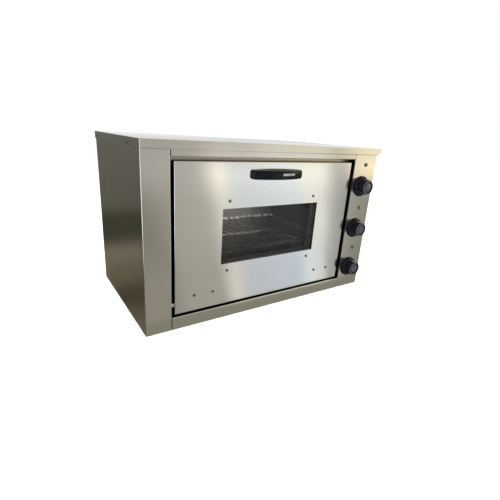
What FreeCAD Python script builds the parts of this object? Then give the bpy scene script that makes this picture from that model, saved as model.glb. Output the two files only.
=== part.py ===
"""Countertop pizza oven with a drop-down windowed door and three front controls.

Millimetres, +Z up, +Y towards the back. The origin is the middle of the footprint on the
counter. Every separate piece of the oven is written as its own STEP file in parts/.
"""
import FreeCAD, Part

import math
import os

V = FreeCAD.Vector

# ---- casing ----
CASE_WIDTH = 800.0          # outside of the side panels
CASE_DEPTH = 434.0          # front of the posts to the outside of the back panel
POST_HEIGHT = 466.0         # counter to the lower edge of the lid's lip
CASE_SHEET = 1.2
POST_WIDTH = 70.0
CONTROL_WIDTH = 103.1
SILL_HEIGHT = 36.4
HEADER_HEIGHT = 15.5        # visible part of the header rail, under the lip
CORNER_RETURN = 15.0        # front corners, folded round onto the sides
JAMB_DEPTH = 44.0           # folds beside the door
LEDGE_DEPTH = 26.0          # folds over the sill and under the header
SEAM = 1.5                  # open joint between neighbouring outer sheets
FIT = 0.4                   # slack between sheets that fit together inside
CUT_OVERSHOOT = 1.0         # how far a cutting shape reaches past what it cuts
BEND_RADIUS = 2.0
LAP = 12.0                  # how far the side panel reaches behind the corner return
BACK_FLANGE = 14.0
BASE_FLANGE = 18.0

# ---- lid ----
LIP_HEIGHT = 21.1
LIP_HEM_GAP = 0.6           # lip's folded-back edge to the front of the posts
LID_SHEET = 1.2
LID_FRONT_OVERHANG = 7.7
LID_RIGHT_OVERHANG = 11.0
LID_GAP = 0.8               # between a flange and the panel beside it
CLIP_LENGTH = 15.0          # clipped lower corner of the lip, at the right
CLIP_HEIGHT = 8.0

# ---- door ----
DOOR_GAP = 10.4             # beside and above the door
DOOR_BOTTOM_GAP = 5.3
DOOR_SETBACK = 5.0
DOOR_SHEET = 1.2
DOOR_DEPTH = 20.0
LINER_SHEET = 1.0
PAN_DEPTH = 15.0            # how far the inner panel's pan reaches into the chamber's mouth
PAN_CLEARANCE = 8.0
HINGE_BEHIND_SKIN = 12.0    # hinge axis behind the door's front face
HINGE_HEIGHT = 24.8         # hinge axis above the door's lower edge
PIN_RADIUS = 4.5
PIN_CLEARANCE = 0.05
PIN_HOLE_RADIUS = 5.55      # holes in the door's sides, clear of the pins
LUG_RADIUS = 6.8
LUG_LENGTH = 36.0
PIN_IN_LUG = 32.0
PIN_IN_POST = 8.0
SPACER_RADIUS = 8.0
SPACER_PLAY = 0.3
BRACKET_LENGTH = 126.0
BRACKET_THICKNESS = 3.0
BRACKET_BELOW = 14.0        # bracket plate below the hinge axis
BRACKET_ABOVE = 33.0
HINGE_SCREW_INSETS = (55.2, 111.5)
HINGE_SCREW_RISE = 21.1     # hinge screws above the hinge axis

# ---- window ----
WINDOW_WIDTH = 337.6
WINDOW_HEIGHT = 154.8
WINDOW_RISE = 122.0         # door's lower edge to the window's lower edge
GLASS_THICKNESS = 4.0
GLASS_LAP = 10.0            # pane beyond the cut-out, all round
GASKET_LIP = 2.5
GASKET_WALL = 2.5
GASKET_COVER = 9.0          # how far the gasket's lips reach over the pane
CLAMP_SLACK = 0.5
CLAMP_LEG = 15.0
CLAMP_LIP = 2.0
CLAMP_LENGTH = 344.0
WINDOW_SCREW_HALF_SPAN = 148.6
REVEAL_SHEET = 0.8

# ---- handle ----
HANDLE_LENGTH = 174.0
HANDLE_HEIGHT = 25.0
HANDLE_RISE = 365.1         # door's lower edge to the handle's middle
HANDLE_REACH = 27.0
HANDLE_THICKNESS = 9.0
HANDLE_FOOT = 20.0
HANDLE_END = 8.0            # how far the end faces stand out from the door
HANDLE_CORNER = 8.0         # corners, seen from the front
HANDLE_ROUNDING = 3.0

# ---- chamber ----
CHAMBER_SIDE_MARGIN = 32.25     # opening in the casing to the chamber's wall
CHAMBER_FLOOR_RISE = 75.6       # above the sill
CHAMBER_ROOF_DROP = 32.5        # below the header rail
CHAMBER_BACK_GAP = 56.0         # back of the casing to the chamber's back wall
CHAMBER_SHEET = 1.0
FRAME_SHEET = 1.2
FRAME_BELOW = 15.0              # front frame below the chamber's floor
SEAL_THICKNESS = 4.0
SEAL_GAP = 0.3
SEAL_WIDTH = 10.0
SEAL_INSET = 4.0
BAFFLE_DEPTH = 49.0             # back face of the lower baffle, behind the casing's front
INSULATION = 28.0
SHIELD_GAP = 2.0
SUPPORT_FLANGE = 20.0
SUPPORT_INSET = 120.0

# ---- heating ----
ELEMENT_RADIUS = 4.0
ELEMENT_RUNS = 4
ELEMENT_BELOW_ROOF = 22.0
ELEMENT_ABOVE_FLOOR = 26.0
ELEMENT_SIDE_CLEARANCE = 20.0
ELEMENT_FRONT_CLEARANCE = 50.0
ELEMENT_HOLE_CLEARANCE = 0.4
TERMINAL_RADIUS = 2.0
TERMINAL_LENGTH = 10.0
HANGER_SHEET = 1.5
HANGER_INSET = 70.0
HANGER_MARGIN = 8.0
FLANGE_PLATE = 2.0
FLANGE_MARGIN = 12.0

# ---- rack ----
RACK_RISE = 76.0                # chamber floor to the middle of the rack's frame
RACK_FRAME_RADIUS = 4.0
RACK_ROD_RADIUS = 2.0
RACK_WELD_SINK = 1.0            # how far the thin rods sink into the frame
RACK_ROD_COUNT = 19
RACK_SIDE_CLEARANCE = 5.0
RACK_BACK_CLEARANCE = 4.0
RACK_FRONT_CLEARANCE = 8.0
RUNNER_WIDTH = 14.0
RUNNER_SHEET = 1.2

# ---- controls ----
KNOB_OFFSET = -7.5              # knob axis from the middle of the control column
LAMP_OFFSET = 2.4
TOP_LAMP_DROP = 31.9            # below the lid's lip
CONTROL_PITCH = 144.0
KNOB_BELOW_LAMP = 70.0
SKIRT_RADIUS = 34.0
SKIRT_EDGE = 3.0
SKIRT_RISE = 10.0
GRIP_RADIUS = 25.0
GRIP_TIP_RADIUS = 24.5
GRIP_LENGTH = 22.5
GRIP_ROUNDING = 2.5
KNOB_GAP = 1.0
SPINDLE_RADIUS = 3.0
SPINDLE_CLEARANCE = 0.05
SPINDLE_IN_KNOB = 18.0
SPINDLE_IN_BODY = 20.0
SPINDLE_HOLE_RADIUS = 5.5
THERMOSTAT_SIZE = 44.0
THERMOSTAT_DEPTH = 28.0
TIMER_SIZE = 50.0
TIMER_DEPTH = 36.0
LAMP_RADIUS = 6.5
LAMP_LENS_RISE = 6.0
LAMP_HOLE_RADIUS = 5.5
LAMP_NECK_RADIUS = 5.2
LAMP_BODY_LENGTH = 30.0

# ---- back panel, cable entry, wiring ----
VENT_COUNT = 7
VENT_LENGTH = 60.0
VENT_HEIGHT = 5.0
VENT_PITCH = 14.0
VENT_TOP_DROP = 60.0
VENT_LOW_RISE = 110.0
GLAND_BORE_RADIUS = 4.5
GLAND_THREAD_RADIUS = 8.0
GLAND_HEAD_RADIUS = 11.0
GLAND_HEAD_LENGTH = 12.0
GLAND_THREAD_LENGTH = 14.0
GLAND_NUT_THICKNESS = 5.0
GLAND_NUT_RADIUS = 13.0         # to the corners
NUT_SIDES = 6
GLAND_RISE = 50.0
GLAND_FROM_SIDE = 50.0
LOOM_RADIUS = 4.0
LOOM_BEHIND_FRONT = 60.0
LOOM_FROM_SIDE = 15.0
BLOCK_SIZE = (24.0, 44.0, 22.0)
BLOCK_BEHIND_FRONT = 250.0

# ---- screws ----
SCREW_HEAD_RADIUS = 4.3
SCREW_HEAD_HEIGHT = 2.6
SCREW_RADIUS = 2.0
SCREW_LENGTH = 8.0
SCREW_TIP_ROOM = 1.0           # handle screw's tip to the bottom of its hole
SCREW_CLEARANCE = 0.1
LID_SCREW_FRONT_INSET = 79.0
LID_SCREW_BACK_INSET = 32.0
LID_SCREW_RISE = 9.0           # above the lower edge of the lip
BACK_SCREW_INSET = 7.0
BACK_SCREW_SHARES = (0.1, 0.5, 0.9)     # places up the posts

# ---- places worked out from the sizes above ----
LEFT = -CASE_WIDTH / 2
RIGHT = CASE_WIDTH / 2
FRONT = -CASE_DEPTH / 2
BACK = CASE_DEPTH / 2
TOTAL_HEIGHT = POST_HEIGHT + LIP_HEIGHT
CASE_TOP = TOTAL_HEIGHT - LID_SHEET
OPENING_X = (LEFT + POST_WIDTH, RIGHT - CONTROL_WIDTH)
OPENING_Z = (SILL_HEIGHT, POST_HEIGHT - HEADER_HEIGHT)
CENTRE_X = sum(OPENING_X) / 2

DOOR_X = (OPENING_X[0] + DOOR_GAP, OPENING_X[1] - DOOR_GAP)
DOOR_Z = (OPENING_Z[0] + DOOR_BOTTOM_GAP, OPENING_Z[1] - DOOR_GAP)
SKIN_Y = FRONT + DOOR_SETBACK
DOOR_BACK_Y = SKIN_Y + DOOR_DEPTH
HINGE_Y = SKIN_Y + HINGE_BEHIND_SKIN
HINGE_Z = DOOR_Z[0] + HINGE_HEIGHT

WINDOW_X = (CENTRE_X - WINDOW_WIDTH / 2, CENTRE_X + WINDOW_WIDTH / 2)
WINDOW_Z = (DOOR_Z[0] + WINDOW_RISE, DOOR_Z[0] + WINDOW_RISE + WINDOW_HEIGHT)
BEHIND_SKIN_Y = SKIN_Y + DOOR_SHEET
GLASS_Y = BEHIND_SKIN_Y + GASKET_LIP
GASKET_BACK_Y = GLASS_Y + GLASS_THICKNESS + GASKET_LIP
CLAMP_SCREW_REACH = GLASS_LAP + GASKET_WALL + CLAMP_SLACK + CLAMP_LEG / 2
PAN_BACK_Y = DOOR_BACK_Y + PAN_DEPTH
INNER_GLASS_Y = PAN_BACK_Y - LINER_SHEET - GLASS_THICKNESS
HANDLE_Z = DOOR_Z[0] + HANDLE_RISE

FRAME_Y = DOOR_BACK_Y + SEAL_THICKNESS
CHAMBER_X = (OPENING_X[0] + CHAMBER_SIDE_MARGIN, OPENING_X[1] - CHAMBER_SIDE_MARGIN)
CHAMBER_Z = (OPENING_Z[0] + CHAMBER_FLOOR_RISE, OPENING_Z[1] - CHAMBER_ROOF_DROP)
CHAMBER_Y = (FRAME_Y + FRAME_SHEET, BACK - CHAMBER_BACK_GAP)
SHELL_X = (CHAMBER_X[0] - CHAMBER_SHEET, CHAMBER_X[1] + CHAMBER_SHEET)
SHELL_Z = (CHAMBER_Z[0] - CHAMBER_SHEET, CHAMBER_Z[1] + CHAMBER_SHEET)
PAN_X = (CHAMBER_X[0] + PAN_CLEARANCE, CHAMBER_X[1] - PAN_CLEARANCE)
PAN_Z = (CHAMBER_Z[0] + PAN_CLEARANCE, CHAMBER_Z[1] - PAN_CLEARANCE)
FRAME_X = (OPENING_X[0] + FIT, OPENING_X[1] - FIT)
FRAME_Z = (CHAMBER_Z[0] - FRAME_BELOW, OPENING_Z[1] - 2 * CASE_SHEET)
BAFFLE_Y = FRONT + BAFFLE_DEPTH
WRAP_Y = (BAFFLE_Y + FIT, CHAMBER_Y[1])
SHIELD_X = OPENING_X[1] + CASE_SHEET + SHIELD_GAP
BACK_WALL_Y = CHAMBER_Y[1] + CHAMBER_SHEET
BACK_FLANGE_Y = BACK - 2 * CASE_SHEET

ELEMENT_FRONT_Y = CHAMBER_Y[0] + ELEMENT_FRONT_CLEARANCE
ELEMENT_PITCH = (CHAMBER_Y[1] - ELEMENT_FRONT_CLEARANCE - ELEMENT_FRONT_Y) / (ELEMENT_RUNS - 1)
ELEMENT_RUN_Y = [ELEMENT_FRONT_Y + ELEMENT_PITCH * run for run in range(ELEMENT_RUNS)]
UPPER_ELEMENT_Z = CHAMBER_Z[1] - ELEMENT_BELOW_ROOF
LOWER_ELEMENT_Z = CHAMBER_Z[0] + ELEMENT_ABOVE_FLOOR
ELEMENT_END_X = SHIELD_X + CASE_SHEET + FLANGE_PLATE
ELEMENT_HOLE_RADIUS = ELEMENT_RADIUS + ELEMENT_HOLE_CLEARANCE
RACK_Z = CHAMBER_Z[0] + RACK_RISE
RACK_X = (CHAMBER_X[0] + RACK_SIDE_CLEARANCE, CHAMBER_X[1] - RACK_SIDE_CLEARANCE)
RACK_Y = (PAN_BACK_Y + RACK_FRONT_CLEARANCE, CHAMBER_Y[1] - RACK_BACK_CLEARANCE)

COLUMN_X = RIGHT - CONTROL_WIDTH / 2
KNOB_X = COLUMN_X + KNOB_OFFSET
LAMP_X = COLUMN_X + LAMP_OFFSET
LAMP_HEIGHTS = [POST_HEIGHT - TOP_LAMP_DROP - CONTROL_PITCH * row for row in range(3)]
KNOB_HEIGHTS = [height - KNOB_BELOW_LAMP for height in LAMP_HEIGHTS]
BEHIND_FASCIA_Y = FRONT + CASE_SHEET
GLAND_X = RIGHT - GLAND_FROM_SIDE
ROW_NAMES = ("upper", "middle", "lower")


def block(x, y, z):
    """A box between the low and high value given for each axis."""
    return Part.makeBox(x[1] - x[0], y[1] - y[0], z[1] - z[0], V(x[0], y[0], z[0]))


def rod(radius, start, end):
    """A cylinder from one point to another."""
    direction = V(*end) - V(*start)
    return Part.makeCylinder(radius, direction.Length, V(*start), direction)


def joined(*solids):
    """One solid made of several that touch or overlap."""
    return solids[0].multiFuse(list(solids[1:])).removeSplitter()


def group(solids):
    """Separate solids of one kind, kept in one node."""
    return Part.makeCompound(solids)


def grown(span, amount):
    """A low and high value moved apart by the same amount at each end."""
    return (span[0] - amount, span[1] + amount)


def ring(x, y, z, wall):
    """A rectangular ring that lies across Y, with the opening x by z and the given wall."""
    return block(grown(x, wall), y, grown(z, wall)).cut(block(x, grown(y, CUT_OVERSHOOT), z))


def rounded(solid, radius, chosen):
    """The solid with a radius on every edge that the test picks."""
    edges = [edge for edge in solid.Edges if chosen(edge)]
    return solid.makeFillet(radius, edges)


def at(value, target):
    """Whether a coordinate lies on a plane."""
    return abs(value - target) < 1e-6


def runs_along(edge, **planes):
    """Whether an edge lies wholly in each plane named, such as x=0."""
    box = edge.BoundBox
    spans = {"x": (box.XMin, box.XMax), "y": (box.YMin, box.YMax), "z": (box.ZMin, box.ZMax)}
    return all(at(spans[axis][0], place) and at(spans[axis][1], place) for axis, place in planes.items())


def dome(radius, rise, centre, way):
    """A dome that stands on the centre point and rises against the given direction."""
    ball_radius = (radius ** 2 + rise ** 2) / (2 * rise)
    ball = Part.makeSphere(ball_radius, centre + way * (ball_radius - rise))
    return Part.makeCylinder(2 * ball_radius, rise + CUT_OVERSHOOT, centre, way * -1).common(ball)


def pan_head_screw(seat, direction, length=SCREW_LENGTH):
    """A screw whose domed head stands on the seat and whose shank points along the direction."""
    way = V(*direction)
    centre = V(*seat)
    head = dome(SCREW_HEAD_RADIUS, SCREW_HEAD_HEIGHT, centre, way)
    shank = Part.makeCylinder(SCREW_RADIUS, length, centre, way)
    return head.fuse(shank).removeSplitter()


def screw_hole(seat, direction, reach=SCREW_LENGTH):
    """The clearance hole for a screw, through everything within its reach."""
    way = V(*direction)
    return Part.makeCylinder(SCREW_RADIUS + SCREW_CLEARANCE, 2 * reach, V(*seat) - way * reach, way)


# ---------------------------------------------------------------- fastener places

def lid_screw_seats():
    """Seats of the screws in the lid's left flange."""
    height = POST_HEIGHT + LID_SCREW_RISE
    places = (FRONT + LID_SCREW_FRONT_INSET, BACK - LID_SCREW_BACK_INSET)
    return [(LEFT - LID_GAP - LID_SHEET, place, height) for place in places]


def rear_lid_screw_seats():
    """Seats of the screws in the lid's rear flange."""
    height = POST_HEIGHT + LID_SCREW_RISE
    return [(place, BACK + LID_GAP + LID_SHEET, height) for place in (LEFT / 2, 0.0, RIGHT / 2)]


def back_screw_seats():
    """Seats of the screws round the back panel, into the side panels' flanges."""
    inset = CASE_SHEET + BACK_SCREW_INSET
    heights = [POST_HEIGHT * share for share in BACK_SCREW_SHARES]
    return [(x, BACK, z) for x in (LEFT + inset, RIGHT - inset) for z in heights]


def hinge_screw_seats():
    """Seats of the four screws through the door's skin into the hinge brackets."""
    height = HINGE_Z + HINGE_SCREW_RISE
    left = [(DOOR_X[0] + inset, SKIN_Y, height) for inset in HINGE_SCREW_INSETS]
    right = [(DOOR_X[1] - inset, SKIN_Y, height) for inset in HINGE_SCREW_INSETS]
    return left + right


def window_screw_seats():
    """Seats of the four screws above and below the window, into the glass clamps."""
    sides = (CENTRE_X - WINDOW_SCREW_HALF_SPAN, CENTRE_X + WINDOW_SCREW_HALF_SPAN)
    heights = (WINDOW_Z[0] - CLAMP_SCREW_REACH, WINDOW_Z[1] + CLAMP_SCREW_REACH)
    return [(x, SKIN_Y, z) for x in sides for z in heights]


def handle_screw_seats():
    """Seats of the two screws from inside the door's skin into the handle's feet."""
    reach = HANDLE_LENGTH / 2 - HANDLE_FOOT / 2
    return [(CENTRE_X + side * reach, BEHIND_SKIN_Y, HANDLE_Z) for side in (-1, 1)]


def holes_for(seats, direction, reach=SCREW_LENGTH):
    """The clearance holes for a list of screw seats."""
    return [screw_hole(seat, direction, reach) for seat in seats]


# ---------------------------------------------------------------- casing

def lid():
    """Folded top cover: a flat top with a lip at the front and flanges on the other sides."""
    x = (LEFT - LID_GAP - LID_SHEET, RIGHT + LID_RIGHT_OVERHANG)
    y = (FRONT - LID_FRONT_OVERHANG, BACK + LID_GAP + LID_SHEET)
    z = (POST_HEIGHT, TOTAL_HEIGHT)
    hollow = block(grown(x, -LID_SHEET), grown(y, -LID_SHEET), (z[0] - CUT_OVERSHOOT, z[1] - LID_SHEET))
    hem = block(grown(x, -LID_SHEET), (y[0] + LID_SHEET, FRONT - LIP_HEM_GAP), (z[0], z[0] + LID_SHEET))
    cover = joined(block(x, y, z).cut(hollow), hem)
    cover = rounded(cover, BEND_RADIUS, lambda edge: runs_along(edge, x=x[0], y=y[0])
                    or runs_along(edge, y=y[0], z=z[0])
                    or runs_along(edge, x=x[1], y=y[0]) or runs_along(edge, y=y[0], z=z[1])
                    or runs_along(edge, x=x[0], z=z[1]) or runs_along(edge, x=x[1], z=z[1]))
    clip_x = x[1] + CUT_OVERSHOOT
    clip_y = y[0] - CUT_OVERSHOOT
    corner = [V(x[1] - CLIP_LENGTH, clip_y, z[0]), V(clip_x, clip_y, z[0]),
              V(clip_x, clip_y, z[0] + CLIP_HEIGHT)]
    wedge = Part.Face(Part.makePolygon(corner + corner[:1])).extrude(V(0, CLIP_LENGTH, 0))
    holes = holes_for(lid_screw_seats(), (1, 0, 0)) + holes_for(rear_lid_screw_seats(), (0, -1, 0))
    return cover.cut([wedge] + holes)


def hinge_pin_holes():
    """Holes for the hinge pins through the folds beside the door."""
    reach = DOOR_GAP + PIN_IN_LUG
    radius = PIN_RADIUS + PIN_CLEARANCE
    return [rod(radius, (edge - reach, HINGE_Y, HINGE_Z), (edge + reach, HINGE_Y, HINGE_Z))
            for edge in OPENING_X]


def left_post():
    """Bent channel left of the door, with its outer fold round the corner of the casing."""
    x = (LEFT, OPENING_X[0])
    z = (0.0, CASE_TOP)
    front = block(x, (FRONT, BEHIND_FASCIA_Y), z)
    corner = block((x[0], x[0] + CASE_SHEET), (FRONT, FRONT + CORNER_RETURN), z)
    jamb = block((x[1] - CASE_SHEET, x[1]), (FRONT, FRONT + JAMB_DEPTH), z)
    foot = block((LEFT + CASE_SHEET, x[1]), (FRONT, FRONT + JAMB_DEPTH), (0.0, CASE_SHEET))
    post = joined(front, corner, jamb, foot).cut(hinge_pin_holes())
    return rounded(post, BEND_RADIUS, lambda edge: runs_along(edge, x=x[0], y=FRONT)
                   or runs_along(edge, x=x[1], y=FRONT))


def control_fascia():
    """One L-shaped sheet: the sill under the door and the column that carries the controls."""
    sill_x = (OPENING_X[0] + SEAM, RIGHT)
    column_x = (OPENING_X[1], RIGHT)
    z = (0.0, CASE_TOP)
    plate_y = (FRONT, BEHIND_FASCIA_Y)
    sill = block(sill_x, plate_y, (0.0, SILL_HEIGHT))
    column = block(column_x, plate_y, z)
    ledge = block((sill_x[0], column_x[0]), (FRONT, FRONT + LEDGE_DEPTH),
                  (SILL_HEIGHT - CASE_SHEET, SILL_HEIGHT))
    jamb = block((column_x[0], column_x[0] + CASE_SHEET), (FRONT, FRONT + JAMB_DEPTH), (0.0, CASE_TOP))
    corner = block((RIGHT - CASE_SHEET, RIGHT), (FRONT, FRONT + CORNER_RETURN), z)
    foot = block((sill_x[0], RIGHT - CASE_SHEET), (FRONT, FRONT + JAMB_DEPTH), (0.0, CASE_SHEET))
    sheet = joined(sill, column, ledge, jamb, corner, foot)
    near, far = grown((FRONT, BEHIND_FASCIA_Y), CUT_OVERSHOOT)
    holes = [rod(SPINDLE_HOLE_RADIUS, (KNOB_X, near, height), (KNOB_X, far, height))
             for height in KNOB_HEIGHTS]
    holes += [rod(LAMP_HOLE_RADIUS, (LAMP_X, near, height), (LAMP_X, far, height))
              for height in LAMP_HEIGHTS]
    sheet = sheet.cut(holes + hinge_pin_holes())
    return rounded(sheet, BEND_RADIUS, lambda edge: runs_along(edge, x=RIGHT, y=FRONT)
                   or runs_along(edge, y=FRONT, z=SILL_HEIGHT))


def header_rail():
    """Folded rail over the door, between the post and the control column."""
    x = grown(OPENING_X, -SEAM)
    z = (OPENING_Z[1], CASE_TOP)
    front = block(x, (FRONT, BEHIND_FASCIA_Y), z)
    ledge = block(x, (FRONT, FRONT + LEDGE_DEPTH), (z[0], z[0] + CASE_SHEET))
    top = block(x, (FRONT, FRONT + LEDGE_DEPTH), (z[1] - CASE_SHEET, z[1]))
    rail = joined(front, ledge, top)
    return rounded(rail, BEND_RADIUS, lambda edge: runs_along(edge, y=FRONT, z=z[0]))


def side_panel(outer, inward):
    """Side panel with a lap behind the corner return and a flange along the back edge."""
    start = FRONT + CORNER_RETURN + SEAM
    skin_x = sorted((outer, outer + inward * CASE_SHEET))
    lap_x = sorted((outer + inward * CASE_SHEET, outer + inward * 2 * CASE_SHEET))
    flange_x = sorted((outer, outer + inward * BACK_FLANGE))
    skin = block(skin_x, (start, BACK - CASE_SHEET), (0.0, CASE_TOP))
    lap = block(lap_x, (start - LAP, start + LAP), (BASE_FLANGE + LAP, CASE_TOP))
    flange = block(flange_x, (BACK_FLANGE_Y, BACK - CASE_SHEET), (0.0, CASE_TOP))
    holes = holes_for(lid_screw_seats(), (1, 0, 0)) + holes_for(back_screw_seats(), (0, -1, 0))
    return joined(skin, lap, flange).cut(holes)


def back_panel():
    """Flat back with two groups of vent slots behind the controls and a hole for the gland."""
    panel = block((LEFT, RIGHT), (BACK - CASE_SHEET, BACK), (0.0, CASE_TOP))
    slots = []
    for lowest in (VENT_LOW_RISE, POST_HEIGHT - VENT_TOP_DROP - (VENT_COUNT - 1) * VENT_PITCH):
        for row in range(VENT_COUNT):
            height = lowest + row * VENT_PITCH
            x = (COLUMN_X - VENT_LENGTH / 2, COLUMN_X + VENT_LENGTH / 2)
            slot = block(x, (BACK - 2 * CASE_SHEET, BACK + CUT_OVERSHOOT), (height, height + VENT_HEIGHT))
            slots.append(slot)
    near, far = grown((BACK - CASE_SHEET, BACK), CUT_OVERSHOOT)
    gland_hole = GLAND_THREAD_RADIUS + SCREW_CLEARANCE
    gland = rod(gland_hole, (GLAND_X, near, GLAND_RISE), (GLAND_X, far, GLAND_RISE))
    holes = holes_for(back_screw_seats(), (0, -1, 0)) + holes_for(rear_lid_screw_seats(), (0, -1, 0))
    return panel.cut(slots + [gland] + holes)


def base_panel():
    """Bottom tray with upturned flanges on all four sides."""
    x = (LEFT + CASE_SHEET, RIGHT - CASE_SHEET)
    y = (FRONT + JAMB_DEPTH + FIT, BACK_FLANGE_Y)
    tray = block(x, y, (0.0, BASE_FLANGE))
    inside_z = (CASE_SHEET, BASE_FLANGE + CUT_OVERSHOOT)
    return tray.cut(block(grown(x, -CASE_SHEET), grown(y, -CASE_SHEET), inside_z))


# ---------------------------------------------------------------- chamber

def element_holes(height, x):
    """Holes for the two ends of a heating element, through what stands between two x values."""
    return [rod(ELEMENT_HOLE_RADIUS, (x[0], place, height), (x[1], place, height))
            for place in (ELEMENT_RUN_Y[0], ELEMENT_RUN_Y[-1])]


def all_element_holes():
    """Holes for the ends of both heating elements, from the chamber out to the control bay."""
    span = (CHAMBER_X[1] - 2 * FLANGE_PLATE, ELEMENT_END_X)
    return element_holes(UPPER_ELEMENT_Z, span) + element_holes(LOWER_ELEMENT_Z, span)


def chamber_shell():
    """Folded tunnel: floor, roof and side walls of the oven chamber."""
    inside = block(CHAMBER_X, grown(CHAMBER_Y, CUT_OVERSHOOT), CHAMBER_Z)
    return block(SHELL_X, CHAMBER_Y, SHELL_Z).cut([inside] + all_element_holes())


def chamber_back():
    """Back wall of the chamber."""
    return block(SHELL_X, (CHAMBER_Y[1], BACK_WALL_Y), SHELL_Z)


def chamber_front_frame():
    """Frame round the chamber's mouth, folded back along its lower edge and both sides."""
    y = (FRAME_Y, CHAMBER_Y[0])
    face = block(FRAME_X, y, FRAME_Z).cut(block(CHAMBER_X, grown(y, CUT_OVERSHOOT), CHAMBER_Z))
    side_y = (FRAME_Y, FRONT + JAMB_DEPTH)
    folds = [block((FRAME_X[0], FRAME_X[0] + FRAME_SHEET), side_y, FRAME_Z),
             block((FRAME_X[1] - FRAME_SHEET, FRAME_X[1]), side_y, FRAME_Z),
             block(FRAME_X, (FRAME_Y, BAFFLE_Y), (FRAME_Z[0], FRAME_Z[0] + FRAME_SHEET))]
    return joined(face, *folds)


def lower_baffle():
    """Plate from the base up to the front frame, behind the foot of the door."""
    y = (BAFFLE_Y - FRAME_SHEET, BAFFLE_Y)
    return block(FRAME_X, y, (CASE_SHEET, FRAME_Z[0]))


def door_seal():
    """Flat gasket round the chamber's mouth, which the closed door meets."""
    x = grown(CHAMBER_X, SEAL_INSET)
    z = grown(CHAMBER_Z, SEAL_INSET)
    return ring(x, (DOOR_BACK_Y + SEAL_GAP, FRAME_Y), z, SEAL_WIDTH)


def insulation_wrap():
    """Blanket round the floor, roof and side walls of the chamber."""
    blanket = ring(SHELL_X, WRAP_Y, SHELL_Z, INSULATION)
    return blanket.cut(all_element_holes())


def insulation_back():
    """Blanket behind the chamber."""
    y = (BACK_WALL_Y, BACK_WALL_Y + INSULATION)
    return block(grown(SHELL_X, INSULATION), y, grown(SHELL_Z, INSULATION))


def chamber_support(place):
    """Channel from front to back that carries the chamber on the base."""
    z = (CASE_SHEET, SHELL_Z[0] - INSULATION)
    y = grown(WRAP_Y, -CASE_SHEET)
    web = block((place, place + CASE_SHEET), y, z)
    lower = block((place, place + SUPPORT_FLANGE), y, (z[0], z[0] + CASE_SHEET))
    upper = block((place, place + SUPPORT_FLANGE), y, (z[1] - CASE_SHEET, z[1]))
    return joined(web, lower, upper)


def chamber_supports():
    """The two channels under the chamber."""
    places = (SHELL_X[0] + SUPPORT_INSET, SHELL_X[1] - SUPPORT_INSET)
    return group([chamber_support(place) for place in places])


def heat_shield():
    """Plate between the hot chamber and the control bay."""
    y = (FRONT + JAMB_DEPTH + 2 * CASE_SHEET, BACK_FLANGE_Y - CASE_SHEET)
    plate = block((SHIELD_X, SHIELD_X + CASE_SHEET), y, (CASE_SHEET, CASE_TOP))
    return plate.cut(all_element_holes())


def heating_element(height):
    """Tubular element bent to and fro across the chamber, both ends out through the right wall."""
    bend = ELEMENT_PITCH / 2
    left_x = CHAMBER_X[0] + ELEMENT_SIDE_CLEARANCE + bend
    right_x = CHAMBER_X[1] - ELEMENT_SIDE_CLEARANCE - bend
    pieces = []
    for number, place in enumerate(ELEMENT_RUN_Y):
        is_end = number in (0, ELEMENT_RUNS - 1)
        right_end = ELEMENT_END_X if is_end else right_x
        pieces.append(rod(ELEMENT_RADIUS, (left_x, place, height), (right_end, place, height)))
        if is_end:
            tip = right_end + TERMINAL_LENGTH
            pieces.append(rod(TERMINAL_RADIUS, (right_end, place, height), (tip, place, height)))
    for number in range(ELEMENT_RUNS - 1):
        centre_y = ELEMENT_RUN_Y[number] + bend
        turns_left = number % 2 == 0
        centre = V(left_x if turns_left else right_x, centre_y, height)
        torus = Part.makeTorus(bend, ELEMENT_RADIUS, centre, V(0, 0, 1))
        side = -1 if turns_left else 1
        reach = bend + 2 * ELEMENT_RADIUS
        keep_x = sorted((centre.x, centre.x + side * reach))
        half = block(keep_x, grown((centre_y, centre_y), reach), grown((height, height), 2 * ELEMENT_RADIUS))
        pieces.append(torus.common(half))
    return joined(*pieces)


def element_comb(place, z, height):
    """Plate across the runs of an element, with a hole round each run."""
    y = grown((ELEMENT_RUN_Y[0], ELEMENT_RUN_Y[-1]), 2 * HANGER_MARGIN)
    plate = block((place, place + HANGER_SHEET), y, z)
    near, far = grown((place, place + HANGER_SHEET), CUT_OVERSHOOT)
    holes = [rod(ELEMENT_HOLE_RADIUS, (near, run, height), (far, run, height)) for run in ELEMENT_RUN_Y]
    return plate.cut(holes)


def element_combs(z, height):
    """The two plates that hold one element."""
    inset = HANGER_INSET + ELEMENT_SIDE_CLEARANCE
    places = (CHAMBER_X[0] + inset, CHAMBER_X[1] - inset)
    return group([element_comb(place, z, height) for place in places])


def element_flanges():
    """Plates inside the right wall that hold the ends of the elements."""
    x = (CHAMBER_X[1] - FLANGE_PLATE, CHAMBER_X[1])
    plates = []
    for height in (UPPER_ELEMENT_Z, LOWER_ELEMENT_Z):
        for place in (ELEMENT_RUN_Y[0], ELEMENT_RUN_Y[-1]):
            margin = grown((place, place), FLANGE_MARGIN)
            plates.append(block(x, margin, grown((height, height), FLANGE_MARGIN)).cut(all_element_holes()))
    return group(plates)


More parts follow.
